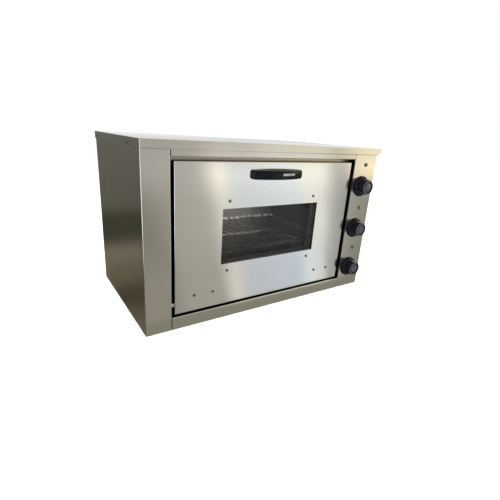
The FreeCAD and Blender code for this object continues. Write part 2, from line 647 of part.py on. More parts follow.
def wire_rack():
    """Welded rack: a rod frame with thinner rods from front to back on top of it."""
    frame = []
    for place in RACK_Y:
        frame.append(rod(RACK_FRAME_RADIUS, (RACK_X[0], place, RACK_Z), (RACK_X[1], place, RACK_Z)))
    for place in RACK_X:
        frame.append(rod(RACK_FRAME_RADIUS, (place, RACK_Y[0], RACK_Z), (place, RACK_Y[1], RACK_Z)))
    corners = [Part.makeSphere(RACK_FRAME_RADIUS, V(x, y, RACK_Z)) for x in RACK_X for y in RACK_Y]
    pitch = (RACK_X[1] - RACK_X[0]) / (RACK_ROD_COUNT + 1)
    height = RACK_Z + RACK_FRAME_RADIUS + RACK_ROD_RADIUS - RACK_WELD_SINK
    y = grown(RACK_Y, RACK_ROD_RADIUS)
    rods = []
    for number in range(1, RACK_ROD_COUNT + 1):
        place = RACK_X[0] + pitch * number
        rods.append(rod(RACK_ROD_RADIUS, (place, y[0], height), (place, y[1], height)))
    return joined(*frame, *corners, *rods)


def rack_runner(wall, inward):
    """Angle on a side wall, which the rack lies on."""
    top = RACK_Z - RACK_FRAME_RADIUS
    y = (CHAMBER_Y[0] + LAP, CHAMBER_Y[1] - LAP)
    shelf = block(sorted((wall, wall + inward * RUNNER_WIDTH)), y, (top - RUNNER_SHEET, top))
    leg = block(sorted((wall, wall + inward * RUNNER_SHEET)), y, (top - RUNNER_WIDTH, top))
    return joined(shelf, leg)


# ---------------------------------------------------------------- door

def door_skin():
    """Outer tray of the door, with the window cut-out and the holes for its screws and pins."""
    y = (SKIN_Y, DOOR_BACK_Y - LINER_SHEET)
    tray = block(DOOR_X, y, DOOR_Z)
    tray = rounded(tray, BEND_RADIUS, lambda edge: at(edge.BoundBox.YMax, SKIN_Y))
    hollow_y = (BEHIND_SKIN_Y, y[1] + CUT_OVERSHOOT)
    hollow = block(grown(DOOR_X, -DOOR_SHEET), hollow_y, grown(DOOR_Z, -DOOR_SHEET))
    window = block(WINDOW_X, grown((SKIN_Y, BEHIND_SKIN_Y), CUT_OVERSHOOT), WINDOW_Z)
    holes = holes_for(hinge_screw_seats() + window_screw_seats() + handle_screw_seats(), (0, 1, 0))
    reach = DOOR_SHEET + CUT_OVERSHOOT
    pins = [rod(PIN_HOLE_RADIUS, (edge - reach, HINGE_Y, HINGE_Z), (edge + reach, HINGE_Y, HINGE_Z))
            for edge in DOOR_X]
    return tray.cut([hollow, window] + holes + pins)


def door_inner_panel():
    """Inner sheet of the door, with a pan pressed into the chamber's mouth round the window."""
    flat = block(DOOR_X, (DOOR_BACK_Y - LINER_SHEET, DOOR_BACK_Y), DOOR_Z)
    pan = block(PAN_X, (DOOR_BACK_Y - LINER_SHEET, PAN_BACK_Y), PAN_Z)
    pan = rounded(pan, 2 * BEND_RADIUS, lambda edge: at(edge.BoundBox.YMin, PAN_BACK_Y))
    hollow_y = (DOOR_BACK_Y - LINER_SHEET - CUT_OVERSHOOT, PAN_BACK_Y - LINER_SHEET)
    hollow = block(grown(PAN_X, -LINER_SHEET), hollow_y, grown(PAN_Z, -LINER_SHEET))
    window = block(WINDOW_X, grown((DOOR_BACK_Y, PAN_BACK_Y), CUT_OVERSHOOT), WINDOW_Z)
    return joined(flat, pan).cut([hollow, window])


def door_insulation():
    """Blanket between the two sheets of the door, round the window."""
    y = (GASKET_BACK_Y + CLAMP_LIP + CLAMP_SLACK, PAN_BACK_Y - LINER_SHEET - CLAMP_SLACK)
    slab = block(grown(PAN_X, -2 * LINER_SHEET), y, grown(PAN_Z, -2 * LINER_SHEET))
    room = GLASS_LAP + GASKET_WALL + CLAMP_SLACK
    return slab.cut(block(grown(WINDOW_X, room), grown(y, CUT_OVERSHOOT), grown(WINDOW_Z, room)))


def window_pane(front):
    """One pane of window glass, larger than the cut-out by its lap."""
    return block(grown(WINDOW_X, GLASS_LAP), (front, front + GLASS_THICKNESS), grown(WINDOW_Z, GLASS_LAP))


def window_gasket():
    """Channel-shaped gasket round the edge of the outer pane."""
    opening_x = grown(WINDOW_X, GLASS_LAP - GASKET_COVER)
    opening_z = grown(WINDOW_Z, GLASS_LAP - GASKET_COVER)
    body = ring(opening_x, (BEHIND_SKIN_Y, GASKET_BACK_Y), opening_z, GASKET_COVER + GASKET_WALL)
    return body.cut(window_pane(GLASS_Y))


def window_reveal():
    """Thin sheet tunnel between the outer gasket and the inner pane."""
    return ring(WINDOW_X, (GASKET_BACK_Y + CLAMP_LIP, INNER_GLASS_Y), WINDOW_Z, REVEAL_SHEET)


def glass_clamp(edge, outward):
    """Angle that presses the outer pane's gasket against the skin, above or below the window."""
    start = GLASS_LAP + GASKET_WALL + CLAMP_SLACK
    x = (CENTRE_X - CLAMP_LENGTH / 2, CENTRE_X + CLAMP_LENGTH / 2)
    leg_z = sorted((edge + outward * start, edge + outward * (start + CLAMP_LEG)))
    lip_z = sorted((edge + outward * (GLASS_LAP - GASKET_COVER), edge + outward * (start + CLAMP_LEG)))
    leg = block(x, (BEHIND_SKIN_Y, GASKET_BACK_Y + CLAMP_LIP), leg_z)
    lip = block(x, (GASKET_BACK_Y, GASKET_BACK_Y + CLAMP_LIP), lip_z)
    return joined(leg, lip).cut(holes_for(window_screw_seats(), (0, 1, 0)))


def hinge_bracket(edge, inward):
    """Plate behind the skin with a bored lug that turns on the hinge pin."""
    start = edge + inward * 2 * DOOR_SHEET
    plate_y = (BEHIND_SKIN_Y, BEHIND_SKIN_Y + BRACKET_THICKNESS)
    plate_z = (HINGE_Z - BRACKET_BELOW, HINGE_Z + BRACKET_ABOVE)
    plate = block(sorted((start, start + inward * BRACKET_LENGTH)), plate_y, plate_z)
    lug_end = start + inward * LUG_LENGTH
    web = block(sorted((start, lug_end)), (plate_y[0], HINGE_Y), grown((HINGE_Z, HINGE_Z), LUG_RADIUS))
    lug = rod(LUG_RADIUS, (start, HINGE_Y, HINGE_Z), (lug_end, HINGE_Y, HINGE_Z))
    bracket = joined(plate, web, lug)
    near, far = start - inward * CUT_OVERSHOOT, lug_end + inward * CUT_OVERSHOOT
    bore = rod(PIN_RADIUS + PIN_CLEARANCE, (near, HINGE_Y, HINGE_Z), (far, HINGE_Y, HINGE_Z))
    return bracket.cut([bore] + holes_for(hinge_screw_seats(), (0, 1, 0)))


def hinge_pin(edge, inward):
    """Fixed pin from the fold beside the door into the bracket's lug, with a head in the post."""
    head_x = edge - inward * (CASE_SHEET + PIN_IN_POST)
    seat_x = edge - inward * CASE_SHEET
    tip_x = edge + inward * (DOOR_GAP + PIN_IN_LUG)
    shank = rod(PIN_RADIUS, (head_x, HINGE_Y, HINGE_Z), (tip_x, HINGE_Y, HINGE_Z))
    collar_x = seat_x - inward * BRACKET_THICKNESS
    collar = rod(SPACER_RADIUS, (collar_x, HINGE_Y, HINGE_Z), (seat_x, HINGE_Y, HINGE_Z))
    return joined(shank, collar)


def hinge_spacers():
    """Rings on the pins that keep the door off the posts."""
    rings = []
    for edge, inward in ((OPENING_X[0], 1), (OPENING_X[1], -1)):
        start = (edge, HINGE_Y, HINGE_Z)
        end = (edge + inward * (DOOR_GAP - SPACER_PLAY), HINGE_Y, HINGE_Z)
        rings.append(rod(SPACER_RADIUS, start, end).cut(rod(PIN_RADIUS + PIN_CLEARANCE, start, end)))
    return group(rings)


def handle():
    """Bow handle: a flat crescent with blunt ends that stands on two feet, with rounded edges."""
    half = HANDLE_LENGTH / 2
    inner = half - HANDLE_FOOT
    inner_reach = HANDLE_REACH - HANDLE_THICKNESS
    low = HANDLE_Z - HANDLE_HEIGHT / 2

    def point(across, out):
        return V(CENTRE_X + across, SKIN_Y - out, low)

    front = Part.Arc(point(-half, HANDLE_END), point(0, HANDLE_REACH), point(half, HANDLE_END))
    back = Part.Arc(point(inner, 0), point(0, inner_reach), point(-inner, 0))
    outline = Part.Wire([front.toShape(),
                         Part.LineSegment(point(half, HANDLE_END), point(half, 0)).toShape(),
                         Part.LineSegment(point(half, 0), point(inner, 0)).toShape(),
                         back.toShape(),
                         Part.LineSegment(point(-inner, 0), point(-half, 0)).toShape(),
                         Part.LineSegment(point(-half, 0), point(-half, HANDLE_END)).toShape()])
    bow = Part.Face(outline).extrude(V(0, 0, HANDLE_HEIGHT))
    bow = rounded(bow, HANDLE_CORNER, lambda edge: any(
        runs_along(edge, x=CENTRE_X + side, z=low + rise) for side in (-half, half) for rise in (0, HANDLE_HEIGHT)))
    bow = rounded(bow, HANDLE_ROUNDING, lambda edge: edge.BoundBox.YMax < SKIN_Y - HANDLE_END / 2
                  and edge.BoundBox.XLength > 2 * inner
                  and edge.BoundBox.YMin < SKIN_Y - HANDLE_REACH + HANDLE_ROUNDING)
    depth = HANDLE_THICKNESS / 2
    mouth_y = SKIN_Y + CUT_OVERSHOOT
    return bow.cut([rod(SCREW_RADIUS + SCREW_CLEARANCE, (x, mouth_y, z), (x, SKIN_Y - depth, z))
                    for x, _, z in handle_screw_seats()])


def handle_screws():
    """Screws from inside the door into the handle's feet."""
    length = DOOR_SHEET + HANDLE_THICKNESS / 2 - SCREW_TIP_ROOM
    return group([pan_head_screw(seat, (0, -1, 0), length) for seat in handle_screw_seats()])


# ---------------------------------------------------------------- controls

def knob(height):
    """Knob with a domed skirt and a tapered grip, bored for its spindle."""
    base = FRONT - KNOB_GAP
    shoulder = base - SKIRT_RISE
    tip = shoulder - GRIP_LENGTH

    def point(radius, place):
        return V(KNOB_X + radius, place, height)

    rim = base - SKIRT_EDGE
    middle_radius = (SKIRT_RADIUS + GRIP_RADIUS) / 2 + SKIRT_EDGE / 2
    middle = (rim + shoulder) / 2 - SKIRT_EDGE / 2
    skirt = Part.Arc(point(SKIRT_RADIUS, rim), point(middle_radius, middle), point(GRIP_RADIUS, shoulder))
    outline = [Part.makePolygon([point(0, base), point(SKIRT_RADIUS, base), point(SKIRT_RADIUS, rim)]),
               skirt.toShape(),
               Part.makePolygon([point(GRIP_RADIUS, shoulder), point(GRIP_TIP_RADIUS, tip + GRIP_ROUNDING),
                                 point(GRIP_TIP_RADIUS - GRIP_ROUNDING, tip), point(0, tip), point(0, base)])]
    edges = [edge for part in outline for edge in part.Edges]
    turned = Part.Face(Part.Wire(edges)).revolve(V(KNOB_X, 0, height), V(0, 1, 0), 360)
    bore_end = base - SPINDLE_IN_KNOB
    mouth = base + CUT_OVERSHOOT
    bore = rod(SPINDLE_RADIUS + SPINDLE_CLEARANCE, (KNOB_X, mouth, height), (KNOB_X, bore_end, height))
    return Part.makeSolid(turned).cut(bore)


def spindle(height):
    """Spindle from the knob through the fascia into the control behind it."""
    start = FRONT - KNOB_GAP - SPINDLE_IN_KNOB
    end = BEHIND_FASCIA_Y + SPINDLE_IN_BODY
    return rod(SPINDLE_RADIUS, (KNOB_X, start, height), (KNOB_X, end, height))


def control_body(height, size, depth):
    """Housing of a thermostat or timer, with a blind bore for the spindle."""
    x = grown((KNOB_X, KNOB_X), size / 2)
    z = grown((height, height), size / 2)
    housing = block(x, (BEHIND_FASCIA_Y, BEHIND_FASCIA_Y + depth), z)
    near, far = grown((BEHIND_FASCIA_Y, BEHIND_FASCIA_Y + SPINDLE_IN_BODY), CUT_OVERSHOOT)
    bore = rod(SPINDLE_RADIUS + SPINDLE_CLEARANCE, (KNOB_X, near, height), (KNOB_X, far, height))
    return housing.cut(bore)


def lamp_lenses():
    """Domed green lenses of the pilot lamps, on the face of the fascia."""
    return group([dome(LAMP_RADIUS, LAMP_LENS_RISE, V(LAMP_X, FRONT, height), V(0, 1, 0))
                  for height in LAMP_HEIGHTS])


def lamp_bodies():
    """Necks and housings of the pilot lamps, through the fascia."""
    return group([rod(LAMP_NECK_RADIUS, (LAMP_X, FRONT, height), (LAMP_X, FRONT + LAMP_BODY_LENGTH, height))
                  for height in LAMP_HEIGHTS])


def terminal_block():
    """Block on the base where the supply meets the loom."""
    x = (RIGHT - 2 * CASE_SHEET - FIT - BLOCK_SIZE[0], RIGHT - 2 * CASE_SHEET - FIT)
    y = (FRONT + BLOCK_BEHIND_FRONT, FRONT + BLOCK_BEHIND_FRONT + BLOCK_SIZE[1])
    return block(x, y, (CASE_SHEET, CASE_SHEET + BLOCK_SIZE[2]))


def wiring_loom():
    """Bundle of wires: a trunk beside the controls, a branch to each, and a run to the block."""
    x = RIGHT - LOOM_FROM_SIDE
    y = FRONT + LOOM_BEHIND_FRONT
    block_z = CASE_SHEET + BLOCK_SIZE[2] / 2
    depths = (THERMOSTAT_DEPTH, THERMOSTAT_DEPTH, TIMER_DEPTH)
    trunk = rod(LOOM_RADIUS, (x, y, block_z), (x, y, KNOB_HEIGHTS[0]))
    run = rod(LOOM_RADIUS, (x, y, block_z), (x, FRONT + BLOCK_BEHIND_FRONT, block_z))
    elbow = Part.makeSphere(LOOM_RADIUS, V(x, y, block_z))
    pieces = [trunk, run, elbow]
    for height, depth in zip(KNOB_HEIGHTS, depths):
        pieces.append(rod(LOOM_RADIUS, (x, y, height), (KNOB_X, y, height)))
        pieces.append(rod(LOOM_RADIUS, (KNOB_X, y, height), (KNOB_X, BEHIND_FASCIA_Y + depth, height)))
        pieces += [Part.makeSphere(LOOM_RADIUS, V(place, y, height)) for place in (x, KNOB_X)]
    return joined(*pieces)


def cable_gland():
    """Gland through the back panel: a head outside, a thread inside, and a bore for a cable."""
    inner_y = BACK - GLAND_THREAD_LENGTH
    outer_y = BACK + GLAND_HEAD_LENGTH
    near, far = grown((inner_y, outer_y), CUT_OVERSHOOT)
    head = rod(GLAND_HEAD_RADIUS, (GLAND_X, BACK, GLAND_RISE), (GLAND_X, outer_y, GLAND_RISE))
    thread = rod(GLAND_THREAD_RADIUS, (GLAND_X, BACK, GLAND_RISE), (GLAND_X, inner_y, GLAND_RISE))
    bore = rod(GLAND_BORE_RADIUS, (GLAND_X, near, GLAND_RISE), (GLAND_X, far, GLAND_RISE))
    return joined(head, thread).cut(bore)


def gland_nut():
    """Hexagon nut that holds the gland from inside."""
    y = BACK - CASE_SHEET
    turns = [2 * math.pi * step / NUT_SIDES for step in range(NUT_SIDES + 1)]
    spokes = [(GLAND_NUT_RADIUS * math.cos(turn), GLAND_NUT_RADIUS * math.sin(turn)) for turn in turns]
    corners = [V(GLAND_X + across, y, GLAND_RISE + up) for across, up in spokes]
    prism = Part.Face(Part.makePolygon(corners)).extrude(V(0, -GLAND_NUT_THICKNESS, 0))
    near, far = grown((y - GLAND_NUT_THICKNESS, y), CUT_OVERSHOOT)
    hole = rod(GLAND_THREAD_RADIUS + SCREW_CLEARANCE, (GLAND_X, near, GLAND_RISE), (GLAND_X, far, GLAND_RISE))
    return prism.cut(hole)


# ---------------------------------------------------------------- the whole oven

def casing_nodes():
    """The casing and its screws."""
    nodes = {
        "lid": lid(),
        "lid_screws": group([pan_head_screw(seat, (1, 0, 0), 5.0) for seat in lid_screw_seats()]
                            + [pan_head_screw(seat, (0, -1, 0), 5.0) for seat in rear_lid_screw_seats()]),
        "left_post": left_post(),
        "control_fascia": control_fascia(),
        "header_rail": header_rail(),
        "left_side_panel": side_panel(LEFT, 1),
        "right_side_panel": side_panel(RIGHT, -1),
        "back_panel": back_panel(),
        "back_screws": group([pan_head_screw(seat, (0, -1, 0), 5.0) for seat in back_screw_seats()]),
        "base_panel": base_panel(),
        "cable_gland": cable_gland(),
        "gland_nut": gland_nut(),
    }
    return nodes


def chamber_nodes():
    """The oven chamber, its heating and its rack."""
    roof_z = (UPPER_ELEMENT_Z - HANGER_MARGIN, CHAMBER_Z[1])
    floor_z = (CHAMBER_Z[0], LOWER_ELEMENT_Z + HANGER_MARGIN)
    return {
        "chamber_shell": chamber_shell(),
        "chamber_back": chamber_back(),
        "chamber_front_frame": chamber_front_frame(),
        "lower_baffle": lower_baffle(),
        "door_seal": door_seal(),
        "insulation_wrap": insulation_wrap(),
        "insulation_back": insulation_back(),
        "chamber_supports": chamber_supports(),
        "heat_shield": heat_shield(),
        "upper_element": heating_element(UPPER_ELEMENT_Z),
        "lower_element": heating_element(LOWER_ELEMENT_Z),
        "upper_element_hangers": element_combs(roof_z, UPPER_ELEMENT_Z),
        "lower_element_rests": element_combs(floor_z, LOWER_ELEMENT_Z),
        "element_flanges": element_flanges(),
        "wire_rack": wire_rack(),
        "rack_runners": group([rack_runner(CHAMBER_X[0], 1), rack_runner(CHAMBER_X[1], -1)]),
    }


def door_nodes():
    """The door, its window, its hinges and its handle."""
    return {
        "door_skin": door_skin(),
        "door_inner_panel": door_inner_panel(),
        "door_insulation": door_insulation(),
        "window_glass": window_pane(GLASS_Y),
        "inner_glass": window_pane(INNER_GLASS_Y),
        "window_gasket": window_gasket(),
        "window_reveal": window_reveal(),
        "upper_glass_clamp": glass_clamp(WINDOW_Z[1], 1),
        "lower_glass_clamp": glass_clamp(WINDOW_Z[0], -1),
        "window_screws": group([pan_head_screw(seat, (0, 1, 0)) for seat in window_screw_seats()]),
        "left_hinge_bracket": hinge_bracket(DOOR_X[0], 1),
        "right_hinge_bracket": hinge_bracket(DOOR_X[1], -1),
        "hinge_pins": group([hinge_pin(OPENING_X[0], 1), hinge_pin(OPENING_X[1], -1)]),
        "hinge_spacers": hinge_spacers(),
        "hinge_screws": group([pan_head_screw(seat, (0, 1, 0)) for seat in hinge_screw_seats()]),
        "handle": handle(),
        "handle_screws": handle_screws(),
    }


def control_nodes():
    """The knobs, what they turn, the pilot lamps and the wiring."""
    nodes = {}
    for name, height in zip(ROW_NAMES, KNOB_HEIGHTS):
        nodes[name + "_knob"] = knob(height)
        nodes[name + "_spindle"] = spindle(height)
    nodes["upper_thermostat"] = control_body(KNOB_HEIGHTS[0], THERMOSTAT_SIZE, THERMOSTAT_DEPTH)
    nodes["lower_thermostat"] = control_body(KNOB_HEIGHTS[1], THERMOSTAT_SIZE, THERMOSTAT_DEPTH)
    nodes["timer"] = control_body(KNOB_HEIGHTS[2], TIMER_SIZE, TIMER_DEPTH)
    nodes["lamp_lenses"] = lamp_lenses()
    nodes["lamp_bodies"] = lamp_bodies()
    nodes["terminal_block"] = terminal_block()
    nodes["wiring_loom"] = wiring_loom()
    return nodes


def main():
    """Builds every piece and writes each to its own STEP file."""
    os.makedirs("parts", exist_ok=True)
    for nodes in (casing_nodes(), chamber_nodes(), door_nodes(), control_nodes()):
        for name, shape in nodes.items():
            shape.exportStep("parts/" + name + ".step")
            print(name, len(shape.Solids), round(shape.Volume, 1), shape.isValid())


main()
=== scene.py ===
"""Countertop pizza oven: finishes, fine parts, studio and camera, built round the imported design."""
import logging
import math
from collections.abc import Callable, Iterable
from dataclasses import dataclass, field
from enum import Enum

import bmesh
import bpy
from mathutils import Matrix, Vector


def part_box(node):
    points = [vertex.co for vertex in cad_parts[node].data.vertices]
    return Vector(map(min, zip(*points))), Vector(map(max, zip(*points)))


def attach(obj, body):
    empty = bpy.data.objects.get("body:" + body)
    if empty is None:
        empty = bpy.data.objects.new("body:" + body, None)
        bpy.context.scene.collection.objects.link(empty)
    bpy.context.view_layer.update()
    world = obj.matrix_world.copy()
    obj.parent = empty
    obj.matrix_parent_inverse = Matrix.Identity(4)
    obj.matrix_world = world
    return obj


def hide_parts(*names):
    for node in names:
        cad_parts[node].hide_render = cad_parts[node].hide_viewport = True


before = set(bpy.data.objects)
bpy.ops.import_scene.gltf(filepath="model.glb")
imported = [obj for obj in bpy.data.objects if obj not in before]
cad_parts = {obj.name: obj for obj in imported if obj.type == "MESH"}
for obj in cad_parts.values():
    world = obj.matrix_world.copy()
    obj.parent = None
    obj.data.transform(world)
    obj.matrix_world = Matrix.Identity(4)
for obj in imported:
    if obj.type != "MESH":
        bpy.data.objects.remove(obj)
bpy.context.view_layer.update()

LOG = logging.getLogger("oven")
Triple = tuple[float, float, float]
Colour = Triple
Bands = tuple[tuple[float, Colour], ...]
Outline = tuple[tuple[float, float], ...]
MM = 0.001
WELD = 1e-7                                  # points nearer than this are joined into one
NEAR = 1e-6                                  # lengths nearer than this count as equal
HAIR_ALONG, HAIR_ACROSS = 5.0, 1600.0        # how fine a sheet's grain is along and across the brushing
TOOL_MARKS = (1.0, 1.0, 0.2)                 # stretch of the marks that turning leaves
FORWARDS, BACKWARDS = Vector((0, -1, 0)), Vector((0, 1, 0))


# ---------------------------------------------------------------- node trees

class Link:
    """A node's output, with arithmetic on it written as Python expressions."""

    def __init__(self, recipe: "Recipe", socket: bpy.types.NodeSocket | None) -> None:
        """Keeps the socket and the tree it belongs to.

        Args:
            recipe: The tree that further nodes are added to.
            socket: The output that this link stands for; an output node has none.
        """
        self.recipe = recipe
        self.socket = socket

    def _math(self, operation: str, *operands: "Link | float") -> "Link":
        """Adds a Math node.

        Args:
            operation: The node's operation.
            operands: Its inputs, in order.

        Returns:
            The node's result.
        """
        return self.recipe.node("ShaderNodeMath", {"operation": operation}, dict(enumerate(operands)))

    def __add__(self, other: "Link | float") -> "Link":
        """Sum of two values."""
        return self._math("ADD", self, other)

    def __sub__(self, other: "Link | float") -> "Link":
        """Difference of two values."""
        return self._math("SUBTRACT", self, other)

    def __rsub__(self, other: float) -> "Link":
        """Number less this value."""
        return self._math("SUBTRACT", other, self)

    def __mul__(self, other: "Link | float") -> "Link":
        """Product of two values."""
        return self._math("MULTIPLY", self, other)

    def __truediv__(self, other: "Link | float") -> "Link":
        """Quotient of two values."""
        return self._math("DIVIDE", self, other)

    def __rtruediv__(self, other: float) -> "Link":
        """Number divided by this value."""
        return self._math("DIVIDE", other, self)

    def __pow__(self, other: float) -> "Link":
        """This value to a power."""
        return self._math("POWER", self, other)

    __radd__ = __add__
    __rmul__ = __mul__

    def span(self, low: float, high: float, start: float = 0.0, end: float = 1.0) -> "Link":
        """Maps a range of this value smoothly onto another.

        Args:
            low: Value that gives start.
            high: Value that gives end.
            start: Result at low.
            end: Result at high.

        Returns:
            The mapped value.
        """
        return self.recipe.node("ShaderNodeMapRange", {"interpolation_type": "SMOOTHSTEP"},
                                {0: self, 1: low, 2: high, 3: start, 4: end})


class Recipe:
    """The node tree of one material or world, with one method that adds any node to it."""

    def __init__(self, name: str, world: bpy.types.World | None = None) -> None:
        """Makes an empty material, or empties a world.

        Args:
            name: The material's name.
            world: The world to work on in place of a new material.
        """
        self.material = world or bpy.data.materials.new(name)
        self.material.use_nodes = True
        self.tree = self.material.node_tree
        self.tree.nodes.clear()

    def node(self, kind: str, settings: dict[str, object] | None = None,
             inputs: dict[str | int, object] | None = None, result: str | int = 0) -> Link:
        """Adds a node, sets it up and feeds it.

        Args:
            kind: The node's type.
            settings: Its own settings, and a colour ramp's stops under "stops".
            inputs: Values or links for its sockets, by name or number.
            result: The output wanted.

        Returns:
            That output.
        """
        made = self.tree.nodes.new(kind)
        for name, value in (settings or {}).items():
            if name == "stops":
                self._set_stops(made.color_ramp, value)
            else:
                setattr(made, name, value)
        for name, value in (inputs or {}).items():
            socket = made.inputs[name]
            if isinstance(value, Link):
                self.tree.links.new(value.socket, socket)
            else:
                socket.default_value = value
        return Link(self, made.outputs[result] if len(made.outputs) else None)

    @staticmethod
    def _set_stops(ramp: bpy.types.ColorRamp, stops: Iterable[tuple[float, Colour]]) -> None:
        """Writes a colour ramp's stops.

        Args:
            ramp: The ramp to fill.
            stops: Places and colours, in order.
        """
        ramp.interpolation = "EASE"
        for number, (place, colour) in enumerate(stops):
            stop = ramp.elements[number] if number < 2 else ramp.elements.new(place)
            stop.position = place
            stop.color = (*colour, 1.0)

    def place(self, scale: Triple = (1.0, 1.0, 1.0)) -> Link:
        """Object coordinates, stretched.

        Args:
            scale: Scale along each axis.

        Returns:
            The coordinates.
        """
        place = self.node("ShaderNodeTexCoord", result="Object")
        return self.node("ShaderNodeMapping", None, {"Vector": place, "Scale": scale})

    def axes(self) -> tuple[Link, Link, Link]:
        """Object coordinates, one axis at a time.

        Returns:
            X, Y and Z.
        """
        place = self.node("ShaderNodeTexCoord", result="Object")
        return tuple(self.node("ShaderNodeSeparateXYZ", None, {0: place}, axis) for axis in "XYZ")

    def ramp(self, share: Link, stops: Bands) -> Link:
        """Colours blended along a value.

        Args:
            share: The value, 0 to 1.
            stops: Places and colours, in order.

        Returns:
            The colour.
        """
        return self.node("ShaderNodeValToRGB", {"stops": stops}, {0: share})

    def noise(self, vector: Link, scale: float, detail: float = 2.0, roughness: float = 0.5) -> Link:
        """Noise between 0 and 1.

        Args:
            vector: Where it is read.
            scale: How fine it is.
            detail: Number of finer layers.
            roughness: Weight of the finer layers.

        Returns:
            The noise.
        """
        return self.node("ShaderNodeTexNoise", None,
                         {"Vector": vector, "Scale": scale, "Detail": detail, "Roughness": roughness})

    def clouds(self, scale: float, detail: float = 2.0, roughness: float = 0.5) -> Link:
        """Noise that looks alike in every direction.

        Args:
            scale: How fine it is.
            detail: Number of finer layers.
            roughness: Weight of the finer layers.

        Returns:
            The noise.
        """
        return self.noise(self.place(), scale, detail, roughness)

    def streaks(self, stretch: Triple, detail: float = 2.0, roughness: float = 0.5) -> Link:
        """Noise drawn out along the axis where it is coarsest.

        Args:
            stretch: How fine it is along each axis.
            detail: Number of finer layers.
            roughness: Weight of the finer layers.

        Returns:
            The noise.
        """
        return self.noise(self.place(stretch), 1.0, detail, roughness)

    def mix(self, share: Link | float, first: Link | Colour, second: Link | Colour) -> Link:
        """Mixes two colours.

        Args:
            share: 0 gives the first and 1 the second.
            first: A colour or a link.
            second: A colour or a link.

        Returns:
            The mixed colour.
        """
        colours = [value if isinstance(value, Link) else (*value, 1.0) for value in (first, second)]
        return self.node("ShaderNodeMix", {"data_type": "RGBA"}, {0: share, 6: colours[0], 7: colours[1]}, 2)

    def bump(self, height: Link, strength: float, distance: float) -> Link:
        """A normal raised by a height.

        Args:
            height: The height, 0 to 1.
            strength: Share of the effect.
            distance: Height in metres at 1.

        Returns:
            The normal.
        """
        return self.node("ShaderNodeBump", None,
                         {"Height": height, "Strength": strength, "Distance": distance})

    def surface(self, **inputs: object) -> bpy.types.Material:
        """Ends the tree in a Principled shader.

        Args:
            inputs: Its inputs, with underscores for spaces.

        Returns:
            The finished material.
        """
        named = {name.replace("_", " "): value for name, value in inputs.items()}
        return self.finish(self.node("ShaderNodeBsdfPrincipled", None, named))

    def finish(self, shader: Link) -> bpy.types.Material:
        """Feeds a shader to the output.

        Args:
            shader: The last shader.

        Returns:
            The finished material.
        """
        self.node("ShaderNodeOutputMaterial", None, {"Surface": shader})
        return self.material


# ---------------------------------------------------------------- finishes

class Grain(Enum):
    """Direction in which a sheet was brushed, as the grain's fineness along each axis."""

    ACROSS = (HAIR_ALONG, HAIR_ACROSS, HAIR_ACROSS)
    UPRIGHT = (HAIR_ACROSS, HAIR_ACROSS, HAIR_ALONG)


@dataclass(frozen=True)
class BrushedSteel:
    """Brushed stainless sheet: fine grain, soft smears, a few long scratches."""

    name: str
    colour: Colour
    grain: Grain
    roughness: float = 0.27
    smear: float = 0.03
    stain: Colour = (0.50, 0.44, 0.34)
    stain_share: float = 0.12
    anisotropy: float = 0.7
    fold_depth: float = 0.0
    # Colour of the painted shade in the sheet's folds.
    fold_shade: Colour = (0.012, 0.011, 0.010)
    coarser: float = 0.22
    scratch_length: float = 0.09
    lighter: float = 1.05
    darker: float = 0.93

    def material(self) -> bpy.types.Material:
        """Builds the finish.

        Returns:
            The material.
        """
        recipe = Recipe(self.name)
        stretch = self.grain.value
        hair = recipe.streaks(stretch, 3.0, 0.6)
        coarse = recipe.streaks(tuple(value * self.coarser for value in stretch))
        cloud = recipe.clouds(5.0, 4.0, 0.55)
        smear = recipe.clouds(13.0, 5.0, 0.6)
        scratch = recipe.streaks(tuple(value * self.scratch_length for value in stretch), 0.0)
        scratch = scratch.span(0.82, 0.90)
        light = tuple(min(1.0, value * self.lighter) for value in self.colour)
        dark = tuple(value * self.darker for value in self.colour)
        tone = recipe.mix(hair * 0.55 + coarse * 0.45, dark, light)
        tone = recipe.mix(cloud.span(0.50, 0.80) * self.stain_share, tone, self.stain)
        even = self.roughness - 0.03 - self.smear
        rough = hair * 0.06 + smear * (2.0 * self.smear) + even + scratch * 0.05
        normal = recipe.bump(hair * 0.7 + coarse * 0.3 - scratch * 0.3, 0.30, 0.02 * MM)
        turned = 0.0 if self.grain is Grain.UPRIGHT else 0.25
        # Painted shade: behind fold_depth the sheet turns near-black and rougher, in the gaps round the door
        # and posts.
        if self.fold_depth:
            fold_shade_share = self.fold_shade_share(recipe)
            tone = recipe.mix(fold_shade_share, tone, self.fold_shade)
            rough = rough + fold_shade_share * 0.4
        return recipe.surface(Base_Color=tone, Metallic=1.0, Roughness=rough, Normal=normal,
                              Anisotropic=self.anisotropy, Anisotropic_Rotation=turned)

    def fold_shade_share(self, recipe: Recipe) -> Link:
        """Share of painted shade on the sheet: only in its folds, behind the front and within the sides.

        Args:
            recipe: The finish's tree.

        Returns:
            The share, 0 to 1.
        """
        x, y, _ = recipe.axes()
        behind = y.span(self.fold_depth, self.fold_depth + 2.0 * MM)
        right_of_left = x.span(-SHADE_REACH, SHADE_FADE - SHADE_REACH)
        left_of_right = x.span(SHADE_REACH, SHADE_REACH - SHADE_FADE)
        return behind * right_of_left * left_of_right


